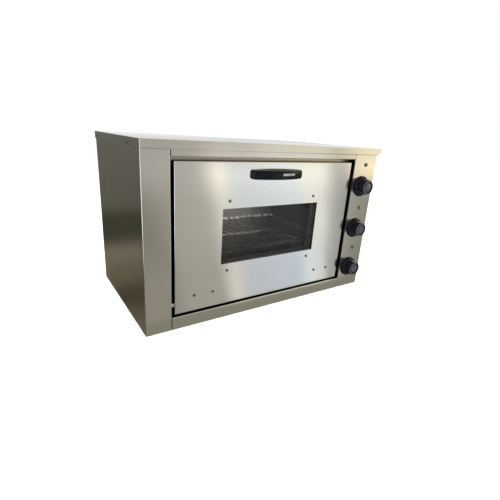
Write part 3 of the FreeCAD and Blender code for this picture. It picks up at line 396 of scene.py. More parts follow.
@dataclass(frozen=True)
class FrameSheet:
    """Sheet round the chamber's mouth: bright steel above the door, and near-black beside it, painted shade
    of the gaps.
    """

    name: str
    colour: Colour
    gap_shade: Colour
    bright_from: float

    def material(self) -> bpy.types.Material:
        """Builds the finish.

        Returns:
            The material.
        """
        recipe = Recipe(self.name)
        _, _, z = recipe.axes()
        cloud = recipe.clouds(30.0, 4.0, 0.6)
        hair = recipe.streaks(Grain.ACROSS.value, 3.0, 0.6)
        # Painted shade: below bright_from the frame is near-black, as in the shaded gaps beside the door.
        unshaded = z.span(self.bright_from, self.bright_from + 6.0 * MM)
        tone = recipe.mix(unshaded * (cloud * 0.2 + 0.8), self.gap_shade, self.colour)
        return recipe.surface(Base_Color=tone, Metallic=0.9, Roughness=cloud * 0.15 - unshaded * 0.20 + 0.45,
                              Normal=recipe.bump(hair * 0.5 + cloud * 0.5, 0.4, 0.04 * MM))


@dataclass(frozen=True)
class HotSheet:
    """Sheet steel dulled by heat: straw and brown tints in clouds, baked-on specks."""

    name: str
    colour: Colour
    tint: Colour
    soot_and_shade: Colour
    roughness: float = 0.5

    def material(self) -> bpy.types.Material:
        """Builds the finish.

        Returns:
            The material.
        """
        recipe = Recipe(self.name)
        cloud = recipe.clouds(6.0, 5.0, 0.6)
        fleck = recipe.clouds(140.0).span(0.62, 0.74)
        roll = recipe.streaks((6.0, 260.0, 260.0))
        tone = recipe.mix(cloud.span(0.35, 0.70), self.colour, self.tint)
        tone = recipe.mix(fleck * 0.7, tone, self.soot_and_shade)
        rough = cloud * 0.20 + fleck * 0.25 + (self.roughness - 0.10)
        normal = recipe.bump(roll * 0.5 + fleck * 0.5, 0.4, 0.08 * MM)
        return recipe.surface(Base_Color=tone, Metallic=0.85, Roughness=rough, Normal=normal)


@dataclass(frozen=True)
class TurnedMetal:
    """Small turned or drawn metal: tool marks round it and a light tarnish."""

    name: str
    colour: Colour
    tarnish: Colour
    roughness: float = 0.22
    mark_scale: float = 900.0

    def material(self) -> bpy.types.Material:
        """Builds the finish.

        Returns:
            The material.
        """
        recipe = Recipe(self.name)
        cloud = recipe.clouds(90.0, 3.0)
        marks = recipe.noise(recipe.place(TOOL_MARKS), self.mark_scale)
        tone = recipe.mix(cloud.span(0.45, 0.75) * 0.6, self.colour, self.tarnish)
        rough = marks * 0.12 + cloud * 0.10 + (self.roughness - 0.10)
        normal = recipe.bump(marks, 0.3, 0.02 * MM)
        return recipe.surface(Base_Color=tone, Metallic=1.0, Roughness=rough, Normal=normal)


@dataclass(frozen=True)
class RackWire:
    """Chromed rod: bright at the back of the rack, and darkened towards the door with painted shade."""

    name: str
    colour: Colour
    soot_and_shade: Colour
    unshaded_from: float

    def material(self) -> bpy.types.Material:
        """Builds the finish.

        Returns:
            The material.
        """
        recipe = Recipe(self.name)
        _, y, _ = recipe.axes()
        cloud = recipe.clouds(60.0, 4.0, 0.6)
        marks = recipe.noise(recipe.place(TOOL_MARKS), 500.0)
        # Painted shade: the rods near the door take the dark colour.
        unshaded = y.span(self.unshaded_from, self.unshaded_from + 12.0 * MM)
        tone = recipe.mix(unshaded * (cloud * 0.2 + 0.9), self.soot_and_shade, self.colour)
        rough = cloud * 0.12 - unshaded * 0.08 + 0.30
        normal = recipe.bump(marks, 0.3, 0.02 * MM)
        return recipe.surface(Base_Color=tone, Metallic=1.0, Roughness=rough, Normal=normal)


@dataclass(frozen=True)
class Moulding:
    """Moulded plastic or rubber: flow marks, dust in patches, a rubbed sheen."""

    name: str
    colour: Colour
    dust: Colour
    roughness: float
    texture_scale: float = 900.0
    texture_depth: float = 0.03 * MM
    coat: float = 0.0
    shine: float = 0.5

    def material(self) -> bpy.types.Material:
        """Builds the finish.

        Returns:
            The material.
        """
        recipe = Recipe(self.name)
        skin = recipe.clouds(self.texture_scale)
        rubbed = recipe.clouds(38.0, 4.0, 0.6)
        tone = recipe.mix(rubbed.span(0.50, 0.85) * 0.35, self.colour, self.dust)
        rough = rubbed * 0.16 + skin * 0.06 + (self.roughness - 0.11)
        normal = recipe.bump(skin * 0.6 + rubbed * 0.4, 0.5, self.texture_depth)
        return recipe.surface(Base_Color=tone, Roughness=rough, Normal=normal, Specular_IOR_Level=self.shine,
                              Coat_Weight=self.coat, Coat_Roughness=0.08)


@dataclass(frozen=True)
class Glazing:
    """Clear glass that lets lamps through, with faint smears on its faces."""

    name: str
    tint: Colour
    roughness: float = 0.02
    bending: float = 1.15

    def material(self) -> bpy.types.Material:
        """Builds the finish.

        Returns:
            The material.
        """
        recipe = Recipe(self.name)
        smear = recipe.clouds(16.0, 4.0, 0.6).span(0.52, 0.80)
        glass = recipe.node("ShaderNodeBsdfPrincipled", None,
                            {"Base Color": (*self.tint, 1.0), "Roughness": smear * 0.05 + self.roughness,
                             "Transmission Weight": 1.0, "IOR": self.bending})
        clear = recipe.node("ShaderNodeBsdfTransparent", None, {"Color": (*self.tint, 1.0)})
        lamp = recipe.node("ShaderNodeLightPath", result="Is Shadow Ray")
        return recipe.finish(recipe.node("ShaderNodeMixShader", None, {0: lamp, 1: glass, 2: clear}))


@dataclass(frozen=True)
class Wool:
    """Glass wool: a matt mat of crossing fibres, yellowed in patches."""

    name: str
    colour: Colour
    shade: Colour

    def material(self) -> bpy.types.Material:
        """Builds the finish.

        Returns:
            The material.
        """
        recipe = Recipe(self.name)
        first = recipe.streaks((60.0, 900.0, 900.0), 3.0, 0.7)
        second = recipe.streaks((900.0, 60.0, 900.0), 3.0, 0.7)
        patch = recipe.clouds(12.0, 3.0)
        fibres = first * 0.5 + second * 0.5
        tone = recipe.mix(fibres.span(0.35, 0.65) * 0.6 + patch * 0.4, self.shade, self.colour)
        return recipe.surface(Base_Color=tone, Roughness=patch * 0.1 + 0.85,
                              Normal=recipe.bump(fibres, 0.8, 0.6 * MM))


@dataclass(frozen=True)
class Lens:
    """Coloured lens of a pilot lamp: clear outside, with a brighter core and a faint emission, a painted
    glow.
    """

    name: str
    colour: Colour
    painted_glow: Colour

    def material(self) -> bpy.types.Material:
        """Builds the finish.

        Returns:
            The material.
        """
        recipe = Recipe(self.name)
        facet = recipe.node("ShaderNodeTexVoronoi", None, {"Vector": recipe.place(), "Scale": 620.0},
                            "Distance")
        glow = recipe.clouds(150.0)
        tone = recipe.mix(facet.span(0.1, 0.7) * 0.7 + glow * 0.3, self.painted_glow, self.colour)
        # Painted glow: the lens gives off a faint light of its own.
        return recipe.surface(Base_Color=tone, Roughness=glow * 0.1 + 0.08, Coat_Weight=0.6,
                              Normal=recipe.bump(facet, 0.35, 0.2 * MM), Emission_Color=tone,
                              Emission_Strength=0.10)


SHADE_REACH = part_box("control_fascia")[1].x - 5.0 * MM       # the painted shade ends short of the oven's sides
SHADE_FADE = 3.0 * MM
DOOR_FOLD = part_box("door_skin")[0].y + 3.0 * MM             # where painted shade starts behind the door's face
POST_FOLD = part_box("left_post")[0].y + 2.5 * MM             # and behind the face of the posts
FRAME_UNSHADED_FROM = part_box("header_rail")[0].z - 26.5 * MM        # the mouth's frame is bright above this, and painted near-black with shade below it
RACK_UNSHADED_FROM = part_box("wire_rack")[1].y - 24.0 * MM           # the rack is bright behind this, and darkened with painted shade in front of it


class Finish(Enum):
    """The finishes of this oven."""

    DOOR = BrushedSteel("door_steel", (0.66, 0.655, 0.645), Grain.ACROSS, 0.15, 0.02, anisotropy=0.45,
                        fold_depth=DOOR_FOLD)
    SIDE = BrushedSteel("side_steel", (0.60, 0.59, 0.565), Grain.UPRIGHT, 0.22)
    POST = BrushedSteel("post_steel", (0.61, 0.60, 0.57), Grain.UPRIGHT, 0.17, 0.02, anisotropy=0.55,
                        fold_depth=POST_FOLD)
    RAIL = BrushedSteel("rail_steel", (0.62, 0.61, 0.585), Grain.ACROSS, 0.22)
    LID = BrushedSteel("lid_steel", (0.62, 0.61, 0.585), Grain.ACROSS, 0.22)
    BACK = BrushedSteel("back_steel", (0.46, 0.46, 0.45), Grain.ACROSS, 0.33, 0.07)
    # Chamber: its near-black tone is painted shade of the closed chamber, over the heat tints.
    CHAMBER = HotSheet("chamber_steel", (0.034, 0.032, 0.029), (0.026, 0.021, 0.017), (0.008, 0.007, 0.006))
    FRAME = FrameSheet("frame_steel", (0.50, 0.47, 0.40), (0.014, 0.013, 0.012), FRAME_UNSHADED_FROM)
    LINER = HotSheet("liner_steel", (0.40, 0.38, 0.35), (0.30, 0.25, 0.19), (0.06, 0.05, 0.04), 0.42)
    # Window reveal: darkened as painted shade of the window's inner edge.
    REVEAL = HotSheet("reveal_steel", (0.11, 0.105, 0.10), (0.08, 0.07, 0.055), (0.02, 0.018, 0.015), 0.5)
    ZINC = HotSheet("zinc_steel", (0.58, 0.58, 0.56), (0.46, 0.45, 0.42), (0.25, 0.24, 0.22), 0.38)
    SOOTED = HotSheet("sooted_steel", (0.07, 0.066, 0.060), (0.05, 0.042, 0.034), (0.02, 0.018, 0.016), 0.5)
    SCREW = TurnedMetal("screw_steel", (0.62, 0.61, 0.59), (0.30, 0.28, 0.25))
    WIRE = RackWire("rack_wire", (0.86, 0.85, 0.82), (0.055, 0.050, 0.044), RACK_UNSHADED_FROM)
    TUBE = HotSheet("element_tube", (0.13, 0.12, 0.115), (0.19, 0.15, 0.12), (0.03, 0.03, 0.03), 0.55)
    GLASS = Glazing("window_glass", (0.82, 0.84, 0.84))
    RUBBER = Moulding("seal_rubber", (0.018, 0.018, 0.019), (0.05, 0.05, 0.048), 0.55, 700.0, 0.06 * MM)
    BLACK = Moulding("black_gloss", (0.003, 0.0035, 0.006), (0.008, 0.009, 0.013), 0.17, 500.0, 0.01 * MM,
                     0.05, 0.12)
    # Knob face: its lighter, glossier tone on the rim and middle is painted highlight.
    FACE = Moulding("knob_face", (0.030, 0.031, 0.044), (0.08, 0.082, 0.10), 0.22, 700.0, 0.02 * MM,
                    0.3, 0.4)
    MATT = Moulding("black_moulding", (0.030, 0.030, 0.032), (0.07, 0.07, 0.068), 0.48, 1300.0, 0.05 * MM)
    PRINT = Moulding("dial_print", (0.62, 0.64, 0.66), (0.45, 0.46, 0.47), 0.45)
    # Screw heads: their dark tone is partly painted shade.
    FIXING = TurnedMetal("fixing_steel", (0.22, 0.21, 0.19), (0.09, 0.085, 0.075), 0.20)
    BADGE = TurnedMetal("badge_metal", (0.42, 0.44, 0.46), (0.22, 0.23, 0.24), 0.35)
    # Screw recesses: dark steel, painted shade in the cross.
    RECESS = TurnedMetal("recess_steel", (0.10, 0.095, 0.085), (0.04, 0.036, 0.030), 0.40)
    GREEN = Lens("lamp_green", (0.004, 0.055, 0.022), (0.012, 0.16, 0.065))
    WOOL = Wool("glass_wool", (0.72, 0.66, 0.46), (0.50, 0.44, 0.28))

    def made(self) -> bpy.types.Material:
        """The finish's material, built once.

        Returns:
            The material.
        """
        if self not in MIXED:
            MIXED[self] = self.value.material()
        return MIXED[self]


MIXED: dict[Finish, bpy.types.Material] = {}


def dress(nodes: Iterable[str], finish: Finish) -> None:
    """Gives CAD nodes their finish.

    Args:
        nodes: The nodes' names.
        finish: What they are finished in.
    """
    for name in nodes:
        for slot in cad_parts[name].material_slots:
            slot.material = finish.made()
        LOG.info("%s dressed in %s", name, finish.value.name)


# ---------------------------------------------------------------- pieces

@dataclass
class Piece:
    """A new mesh piece, from its bmesh to its place on a CAD body."""

    name: str
    body: str
    slot: str
    finishes: tuple[Finish, ...]
    replaces: tuple[str, ...] = ()
    sharp: float = 32.0

    def build(self, shape: bmesh.types.BMesh) -> bpy.types.Object:
        """Makes the object, smooth but for its sharp edges, and has it ride.

        Args:
            shape: The finished bmesh, which is freed.

        Returns:
            The object.
        """
        bmesh.ops.remove_doubles(shape, verts=shape.verts, dist=WELD)
        bmesh.ops.recalc_face_normals(shape, faces=shape.faces)
        limit = math.radians(self.sharp)
        for edge in shape.edges:
            edge.smooth = len(edge.link_faces) == 2 and edge.calc_face_angle(0.0) < limit
        for face in shape.faces:
            face.smooth = True
        mesh = bpy.data.meshes.new(self.name)
        shape.to_mesh(mesh)
        shape.free()
        for finish in self.finishes:
            mesh.materials.append(finish.made())
        made = bpy.data.objects.new(self.name, mesh)
        bpy.context.scene.collection.objects.link(made)
        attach(made, self.body)
        if self.replaces:
            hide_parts(*self.replaces)
        LOG.info("%s: %d faces, on %s", self.name, len(mesh.polygons), self.body)
        return made


def added(shape: bmesh.types.BMesh, before: set[bmesh.types.BMVert]) -> list[bmesh.types.BMVert]:
    """Vertices that a bmesh has gained.

    Args:
        shape: The bmesh.
        before: Its vertices at an earlier time.

    Returns:
        The new vertices.
    """
    return [vert for vert in shape.verts if vert not in before]


def pulled(items: Iterable[object]) -> list[bmesh.types.BMVert]:
    """The vertices among what an extrusion gives back.

    Args:
        items: Vertices, edges and faces.

    Returns:
        The vertices.
    """
    return [item for item in items if isinstance(item, bmesh.types.BMVert)]


def painted(verts: Iterable[bmesh.types.BMVert], slot: int) -> None:
    """Gives every face that touches some vertices a material.

    Args:
        verts: The vertices.
        slot: The material's number in the piece.
    """
    for face in {face for vert in verts for face in vert.link_faces}:
        face.material_index = slot


def rounded(shape: bmesh.types.BMesh, edges: list[bmesh.types.BMEdge], radius: float,
            steps: int) -> list[bmesh.types.BMVert]:
    """Rounds edges off.

    Args:
        shape: The bmesh they belong to.
        edges: The edges.
        radius: How far from the edge the rounding starts.
        steps: Facets across the rounding.

    Returns:
        The vertices of the rounded corners.
    """
    return bmesh.ops.bevel(shape, geom=edges, offset=radius, offset_type="OFFSET", segments=steps,
                           profile=0.5, affect="EDGES", material=-1, clamp_overlap=True)["verts"]


def turned(shape: bmesh.types.BMesh, outline: Iterable[tuple[float, float]],
           steps: int = 48) -> list[bmesh.types.BMVert]:
    """Spins an outline about the Z axis through the origin, and closes its poles.

    Args:
        shape: The bmesh to add to.
        outline: Radius and height of each point, from one pole to the other.
        steps: Steps of the full turn.

    Returns:
        The new vertices.
    """
    before = set(shape.verts)
    chain = [shape.verts.new((radius, 0.0, height)) for radius, height in outline]
    edges = [shape.edges.new(pair) for pair in zip(chain, chain[1:])]
    bmesh.ops.spin(shape, geom=chain + edges, cent=(0, 0, 0), axis=(0, 0, 1), angle=math.tau,
                   steps=steps, use_merge=True)
    bmesh.ops.remove_doubles(shape, verts=added(shape, before), dist=WELD)
    return added(shape, before)


def moved(shape: bmesh.types.BMesh, verts: Iterable[bmesh.types.BMVert], way: Vector,
          place: Vector) -> None:
    """Turns vertices so that their +Z looks along a direction, and moves them to a place.

    Args:
        shape: The bmesh they belong to.
        verts: The vertices.
        way: Direction that +Z turns to.
        place: Where the origin goes.
    """
    turn = way.to_track_quat("Z", "Y").to_matrix().to_4x4()
    bmesh.ops.transform(shape, matrix=Matrix.Translation(place) @ turn, verts=list(verts))


def slab(shape: bmesh.types.BMesh, low: Vector, high: Vector) -> list[bmesh.types.BMVert]:
    """Adds a box between two corners.

    Args:
        shape: The bmesh to add to.
        low: Lowest corner.
        high: Highest corner.

    Returns:
        The new vertices.
    """
    size = high - low
    matrix = Matrix.Translation((low + high) / 2) @ Matrix.Diagonal((*size, 1.0))
    return bmesh.ops.create_cube(shape, size=1.0, matrix=matrix)["verts"]


def islands(node: str) -> list[Vector]:
    """Middles of the separate solids in a CAD node, found by walking its merged mesh.

    Args:
        node: The node's name.

    Returns:
        One point for each solid.
    """
    shape = bmesh.new()
    shape.from_mesh(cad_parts[node].data)
    bmesh.ops.remove_doubles(shape, verts=shape.verts, dist=NEAR)
    left = set(shape.verts)
    found = []
    while left:
        stack = [left.pop()]
        group = []
        while stack:
            vert = stack.pop()
            group.append(vert.co.copy())
            for edge in vert.link_edges:
                other = edge.other_vert(vert)
                if other in left:
                    left.remove(other)
                    stack.append(other)
        lows = Vector(min(point[axis] for point in group) for axis in range(3))
        highs = Vector(max(point[axis] for point in group) for axis in range(3))
        found.append((lows + highs) / 2)
    shape.free()
    return sorted(found, key=lambda point: (round(point.x, 4), round(point.y, 4), round(point.z, 4)))


@dataclass
class ScrewSet:
    """Pan-head screws with a cross recess, in place of one node's plain ones."""

    node: str
    body: str
    way: Callable[[Vector], Vector]
    seat: Callable[[Vector], Vector]
    radius: float = 4.3 * MM
    rise: float = 2.6 * MM
    recess: float = 1.5 * MM
    shank: float = 4.0 * MM
    shank_share: float = 0.46
    profile: Outline = ((0.97, 0.0), (1.0, 0.12), (0.97, 0.40), (0.86, 0.74), (0.66, 1.0))
    steps: int = 32
    inset_share: float = 0.12
    waist_share: float = 0.16
    arm_share: float = 0.40
    arm_sharpness: int = 6
    recess_taper: float = 0.55
    first_turn: float = 0.6
    next_turn: float = 1.3

    def head(self, shape: bmesh.types.BMesh) -> None:
        """Adds one screw that stands on the origin with its head along +Z.

        Args:
            shape: The bmesh to add to.
        """
        neck = self.radius * self.shank_share
        outline = [(neck, -self.shank), (neck, 0.0)]
        outline += [(self.radius * out, self.rise * up) for out, up in self.profile]
        verts = set(turned(shape, outline, self.steps))
        open_edges = [edge for edge in shape.edges if edge.is_boundary and edge.verts[0] in verts]
        top = [edge for edge in open_edges if edge.verts[0].co.z > 0.5 * self.rise]
        bottom = [edge for edge in open_edges if edge.verts[0].co.z < 0.0]
        bmesh.ops.contextual_create(shape, geom=bottom)
        cap = bmesh.ops.contextual_create(shape, geom=top)["faces"]
        bmesh.ops.inset_region(shape, faces=cap, thickness=self.radius * self.inset_share, depth=0.0)
        for vert in set(cap[0].verts):
            lobe = abs(math.cos(2 * math.atan2(vert.co.y, vert.co.x))) ** self.arm_sharpness
            reach = self.radius * (self.waist_share + self.arm_share * lobe) / vert.co.xy.length
            vert.co.x *= reach
            vert.co.y *= reach
        floor = pulled(bmesh.ops.extrude_face_region(shape, geom=list(cap))["geom"])
        bmesh.ops.delete(shape, geom=list(cap), context="FACES_ONLY")
        bmesh.ops.scale(shape, vec=(self.recess_taper, self.recess_taper, 1.0), verts=floor)
        bmesh.ops.translate(shape, vec=(0.0, 0.0, -self.recess), verts=floor)
        # The recess's floor and walls take the dark recess finish, a painted shade.
        painted(floor, 1)

    def build(self) -> None:
        """Builds every screw of the node as one piece."""
        shape = bmesh.new()
        for number, centre in enumerate(islands(self.node)):
            before = set(shape.verts)
            self.head(shape)
            made = added(shape, before)
            spin = Matrix.Rotation(self.first_turn + self.next_turn * number, 4, "Z")
            bmesh.ops.transform(shape, matrix=spin, verts=made)
            moved(shape, made, self.way(centre), self.seat(centre))
        Piece(self.node + "_detailed", self.body, "screw_steel", (Finish.FIXING, Finish.RECESS), (self.node,),
              40.0).build(shape)


# ---------------------------------------------------------------- casing

@dataclass
class Casing:
    """The outer sheets, with their screws and the louvres over the vents."""

    louvre_reach: float = 4.0 * MM
    louvre_length: float = 64.0 * MM
    louvre_height: float = 9.0 * MM
    louvre_pitch: float = 14.0 * MM
    louvre_count: int = 7
    louvre_from_side: float = 51.55 * MM
    louvre_rises: tuple[float, float] = (110.0 * MM, 322.0 * MM)
    louvre_sink: float = 0.4 * MM
    louvre_foot: float = 0.15
    louvre_narrowing: float = 0.08
    louvre_slope: float = 0.45
    louvre_rounding: float = 1.1 * MM
    lid_side_zone: float = 20.0 * MM

    def build(self) -> None:
        """Dresses the sheets and adds the fine parts."""
        dress(("left_side_panel", "right_side_panel"), Finish.SIDE)
        dress(("left_post", "control_fascia"), Finish.POST)
        dress(("header_rail",), Finish.RAIL)
        dress(("lid",), Finish.LID)
        dress(("back_panel", "base_panel"), Finish.BACK)
        dress(("cable_gland", "gland_nut"), Finish.MATT)
        self.screws()
        self.louvres()

    def louvres(self) -> None:
        """Pressed hoods over the vent slots in the back."""
        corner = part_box("back_panel")[1]
        shape = bmesh.new()
        centre = corner.x - self.louvre_from_side
        half = self.louvre_length / 2
        for number in range(2 * self.louvre_count):
            group, row = divmod(number, self.louvre_count)
            rise = self.louvre_rises[group] + row * self.louvre_pitch
            foot = rise + self.louvre_height * self.louvre_foot
            low = Vector((centre - half, corner.y - self.louvre_sink, foot))
            high = Vector((centre + half, corner.y + self.louvre_reach, rise + self.louvre_height))
            verts = slab(shape, low, high)
            for vert in verts:
                if vert.co.y > corner.y + self.louvre_reach / 2:
                    vert.co.x += (centre - vert.co.x) * self.louvre_narrowing
                    if vert.co.z > (low.z + high.z) / 2:
                        vert.co.z -= self.louvre_height * self.louvre_slope
            rims = {edge for vert in verts for edge in vert.link_edges
                    if all(end.co.y > corner.y for end in edge.verts)}
            rounded(shape, list(rims), self.louvre_rounding, 3)
        Piece("vent_louvres", "root", "casing_steel", (Finish.BACK,), (), 50.0).build(shape)

    def screws(self) -> None:
        """The casing's screws, with their heads outwards."""
        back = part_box("back_panel")[1].y
        lid_left, lid_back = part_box("lid")[0].x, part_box("lid")[1].y

        def at_side(centre: Vector) -> bool:
            """Whether a lid screw stands in the left flange."""
            return abs(centre.x - lid_left) < self.lid_side_zone

        def lid_way(centre: Vector) -> Vector:
            """Direction of a lid screw's head."""
            return Vector((-1, 0, 0)) if at_side(centre) else BACKWARDS

        def lid_seat(centre: Vector) -> Vector:
            """Seat of a lid screw's head."""
            seat = (lid_left, centre.y) if at_side(centre) else (centre.x, lid_back)
            return Vector((*seat, centre.z))

        ScrewSet("lid_screws", "root", lid_way, lid_seat).build()
        ScrewSet("back_screws", "root", lambda centre: BACKWARDS,
                 lambda centre: Vector((centre.x, back, centre.z))).build()


# ---------------------------------------------------------------- chamber

@dataclass
class Chamber:
    """The oven chamber and all that is in it."""

    def build(self) -> None:
        """Dresses the chamber's nodes."""
        dress(("chamber_shell", "chamber_back"), Finish.CHAMBER)
        dress(("chamber_front_frame",), Finish.FRAME)
        dress(("lower_baffle",), Finish.LINER)
        dress(("rack_runners", "upper_element_hangers", "lower_element_rests", "element_flanges"),
              Finish.SOOTED)
        dress(("heat_shield", "chamber_supports"), Finish.ZINC)
        dress(("upper_element", "lower_element"), Finish.TUBE)
        dress(("wire_rack",), Finish.WIRE)
        dress(("door_seal",), Finish.RUBBER)
        dress(("insulation_wrap", "insulation_back", "door_insulation"), Finish.WOOL)


# ---------------------------------------------------------------- door

@dataclass
class Door:
    """The door with its window, hinges and handle."""

    handle_foot: float = 20.0 * MM
    handle_thickness: float = 9.0 * MM
    handle_end: float = 8.0 * MM
    handle_corner: float = 8.0 * MM
    handle_edge: float = 3.0 * MM
    badge_size: tuple[float, float] = (46.0 * MM, 6.5 * MM)
    badge_place: tuple[float, float] = (24.0 * MM, 1.5 * MM)
    badge_rise: float = 0.3 * MM
    badge_depth: float = 0.9 * MM
    badge_cells: tuple[int, int] = (14, 2)
    arc_steps: int = 18
    arc_slack: float = 0.2 * MM

    def build(self) -> None:
        """Dresses the door and adds its fine parts."""
        dress(("door_skin",), Finish.DOOR)
        dress(("door_inner_panel",), Finish.LINER)
        dress(("window_reveal",), Finish.REVEAL)
        dress(("window_glass", "inner_glass"), Finish.GLASS)
        dress(("window_gasket",), Finish.RUBBER)
        dress(("upper_glass_clamp", "lower_glass_clamp", "left_hinge_bracket", "right_hinge_bracket"),
              Finish.ZINC)
        dress(("hinge_pins", "hinge_spacers", "handle_screws"), Finish.SCREW)
        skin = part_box("door_skin")[0].y
        for node in ("window_screws", "hinge_screws"):
            ScrewSet(node, "door", lambda centre: FORWARDS,
                     lambda centre: Vector((centre.x, skin, centre.z))).build()
        self.handle()

    def handle(self) -> None:
        """The bow handle: a flat crescent with blunt ends, drawn up to height and rounded."""
        low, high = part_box("handle")
        centre = (low.x + high.x) / 2
        half = (high.x - low.x) / 2
        reach = high.y - low.y
        shape = bmesh.new()
        outer = self.arc(shape, centre, high.y - self.handle_end, half, reach - self.handle_end, low.z)
        inner = self.arc(shape, centre, high.y, half - self.handle_foot, reach - self.handle_thickness, low.z)
        feet = [shape.verts.new((centre + side * half, high.y, low.z)) for side in (-1, 1)]
        for foot, end in zip(feet, (0, -1)):
            shape.edges.new((foot, outer[end]))
            shape.edges.new((foot, inner[end]))
        face = bmesh.ops.contextual_create(shape, geom=shape.edges[:])["faces"]
        tops = pulled(bmesh.ops.extrude_face_region(shape, geom=face)["geom"])
        bmesh.ops.translate(shape, vec=(0, 0, high.z - low.z), verts=tops)
        ends = [edge for edge in shape.edges if abs(edge.verts[0].co.z - edge.verts[1].co.z) < NEAR
                and all(abs(abs(vert.co.x - centre) - half) < NEAR for vert in edge.verts)]
        rounded(shape, ends, self.handle_corner, 7)
        axis, radius = self.bow_circle(centre, high.y - self.handle_end, half, reach - self.handle_end)
        front = {face for face in shape.faces
                 if all(abs((vert.co.xy - axis).length - radius) < self.arc_slack for vert in face.verts)}
        rims = [edge for edge in shape.edges if len(front & set(edge.link_faces)) == 1]
        rounded(shape, rims, self.handle_edge, 5)
        Piece("handle_bow", "door", "black_gloss", (Finish.BLACK,), ("handle",), 50.0).build(shape)
        self.badge(axis, radius, (low.z + high.z) / 2)

    def badge(self, axis: Vector, radius: float, height: float) -> None:
        """A blank plate let into the bow's face.

        Args:
            axis: Middle of the bow's circle, X and Y.
            radius: The circle's radius.
            height: Middle of the handle, along Z.
        """
        shape = bmesh.new()
        bmesh.ops.create_grid(shape, x_segments=self.badge_cells[0], y_segments=self.badge_cells[1], size=0.5)
        grown = radius + self.badge_rise
        for vert in shape.verts:
            across = self.badge_place[0] + vert.co.x * self.badge_size[0]
            up = height + self.badge_place[1] + vert.co.y * self.badge_size[1]
            vert.co = Vector((axis.x + across, axis.y - math.sqrt(grown ** 2 - across ** 2), up))
        backs = pulled(bmesh.ops.extrude_face_region(shape, geom=shape.faces[:])["geom"])
        bmesh.ops.translate(shape, vec=(0, self.badge_depth, 0), verts=backs)
        Piece("handle_badge", "door", "casing_steel", (Finish.BADGE,)).build(shape)

    @staticmethod
    def bow_circle(centre: float, base: float, half: float, reach: float) -> tuple[Vector, float]:
        """The circle that a bow follows.

        Args:
            centre: Middle of the bow, along X.
            base: Where its ends lie, along Y.
            half: Half its chord.
            reach: How far its middle stands out from its ends.

        Returns:
            The circle's middle and radius.
        """
        radius = (half ** 2 + reach ** 2) / (2 * reach)
        return Vector((centre, base - reach + radius)), radius

    def arc(self, shape: bmesh.types.BMesh, centre: float, base: float, half: float, reach: float,
            height: float) -> list[bmesh.types.BMVert]:
        """Spins a vertex into an arc that bows out from the door's skin.

        Args:
            shape: The bmesh to add to.
            centre: Middle of the arc, along X.
            base: The skin's face, along Y.
            half: Half the chord.
            reach: How far the arc stands out.
            height: Where the arc lies, along Z.

        Returns:
            The arc's vertices, from one end to the other.
        """
        axis, radius = self.bow_circle(centre, base, half, reach)
        sweep = 2 * math.asin(half / radius)
        start = shape.verts.new((centre - half, base, height))
        before = set(shape.verts) - {start}
        bmesh.ops.spin(shape, geom=[start], cent=(*axis, height), axis=(0, 0, 1), angle=sweep,
                       steps=self.arc_steps)
        return sorted(added(shape, before), key=lambda vert: vert.co.x)


# ---------------------------------------------------------------- controls

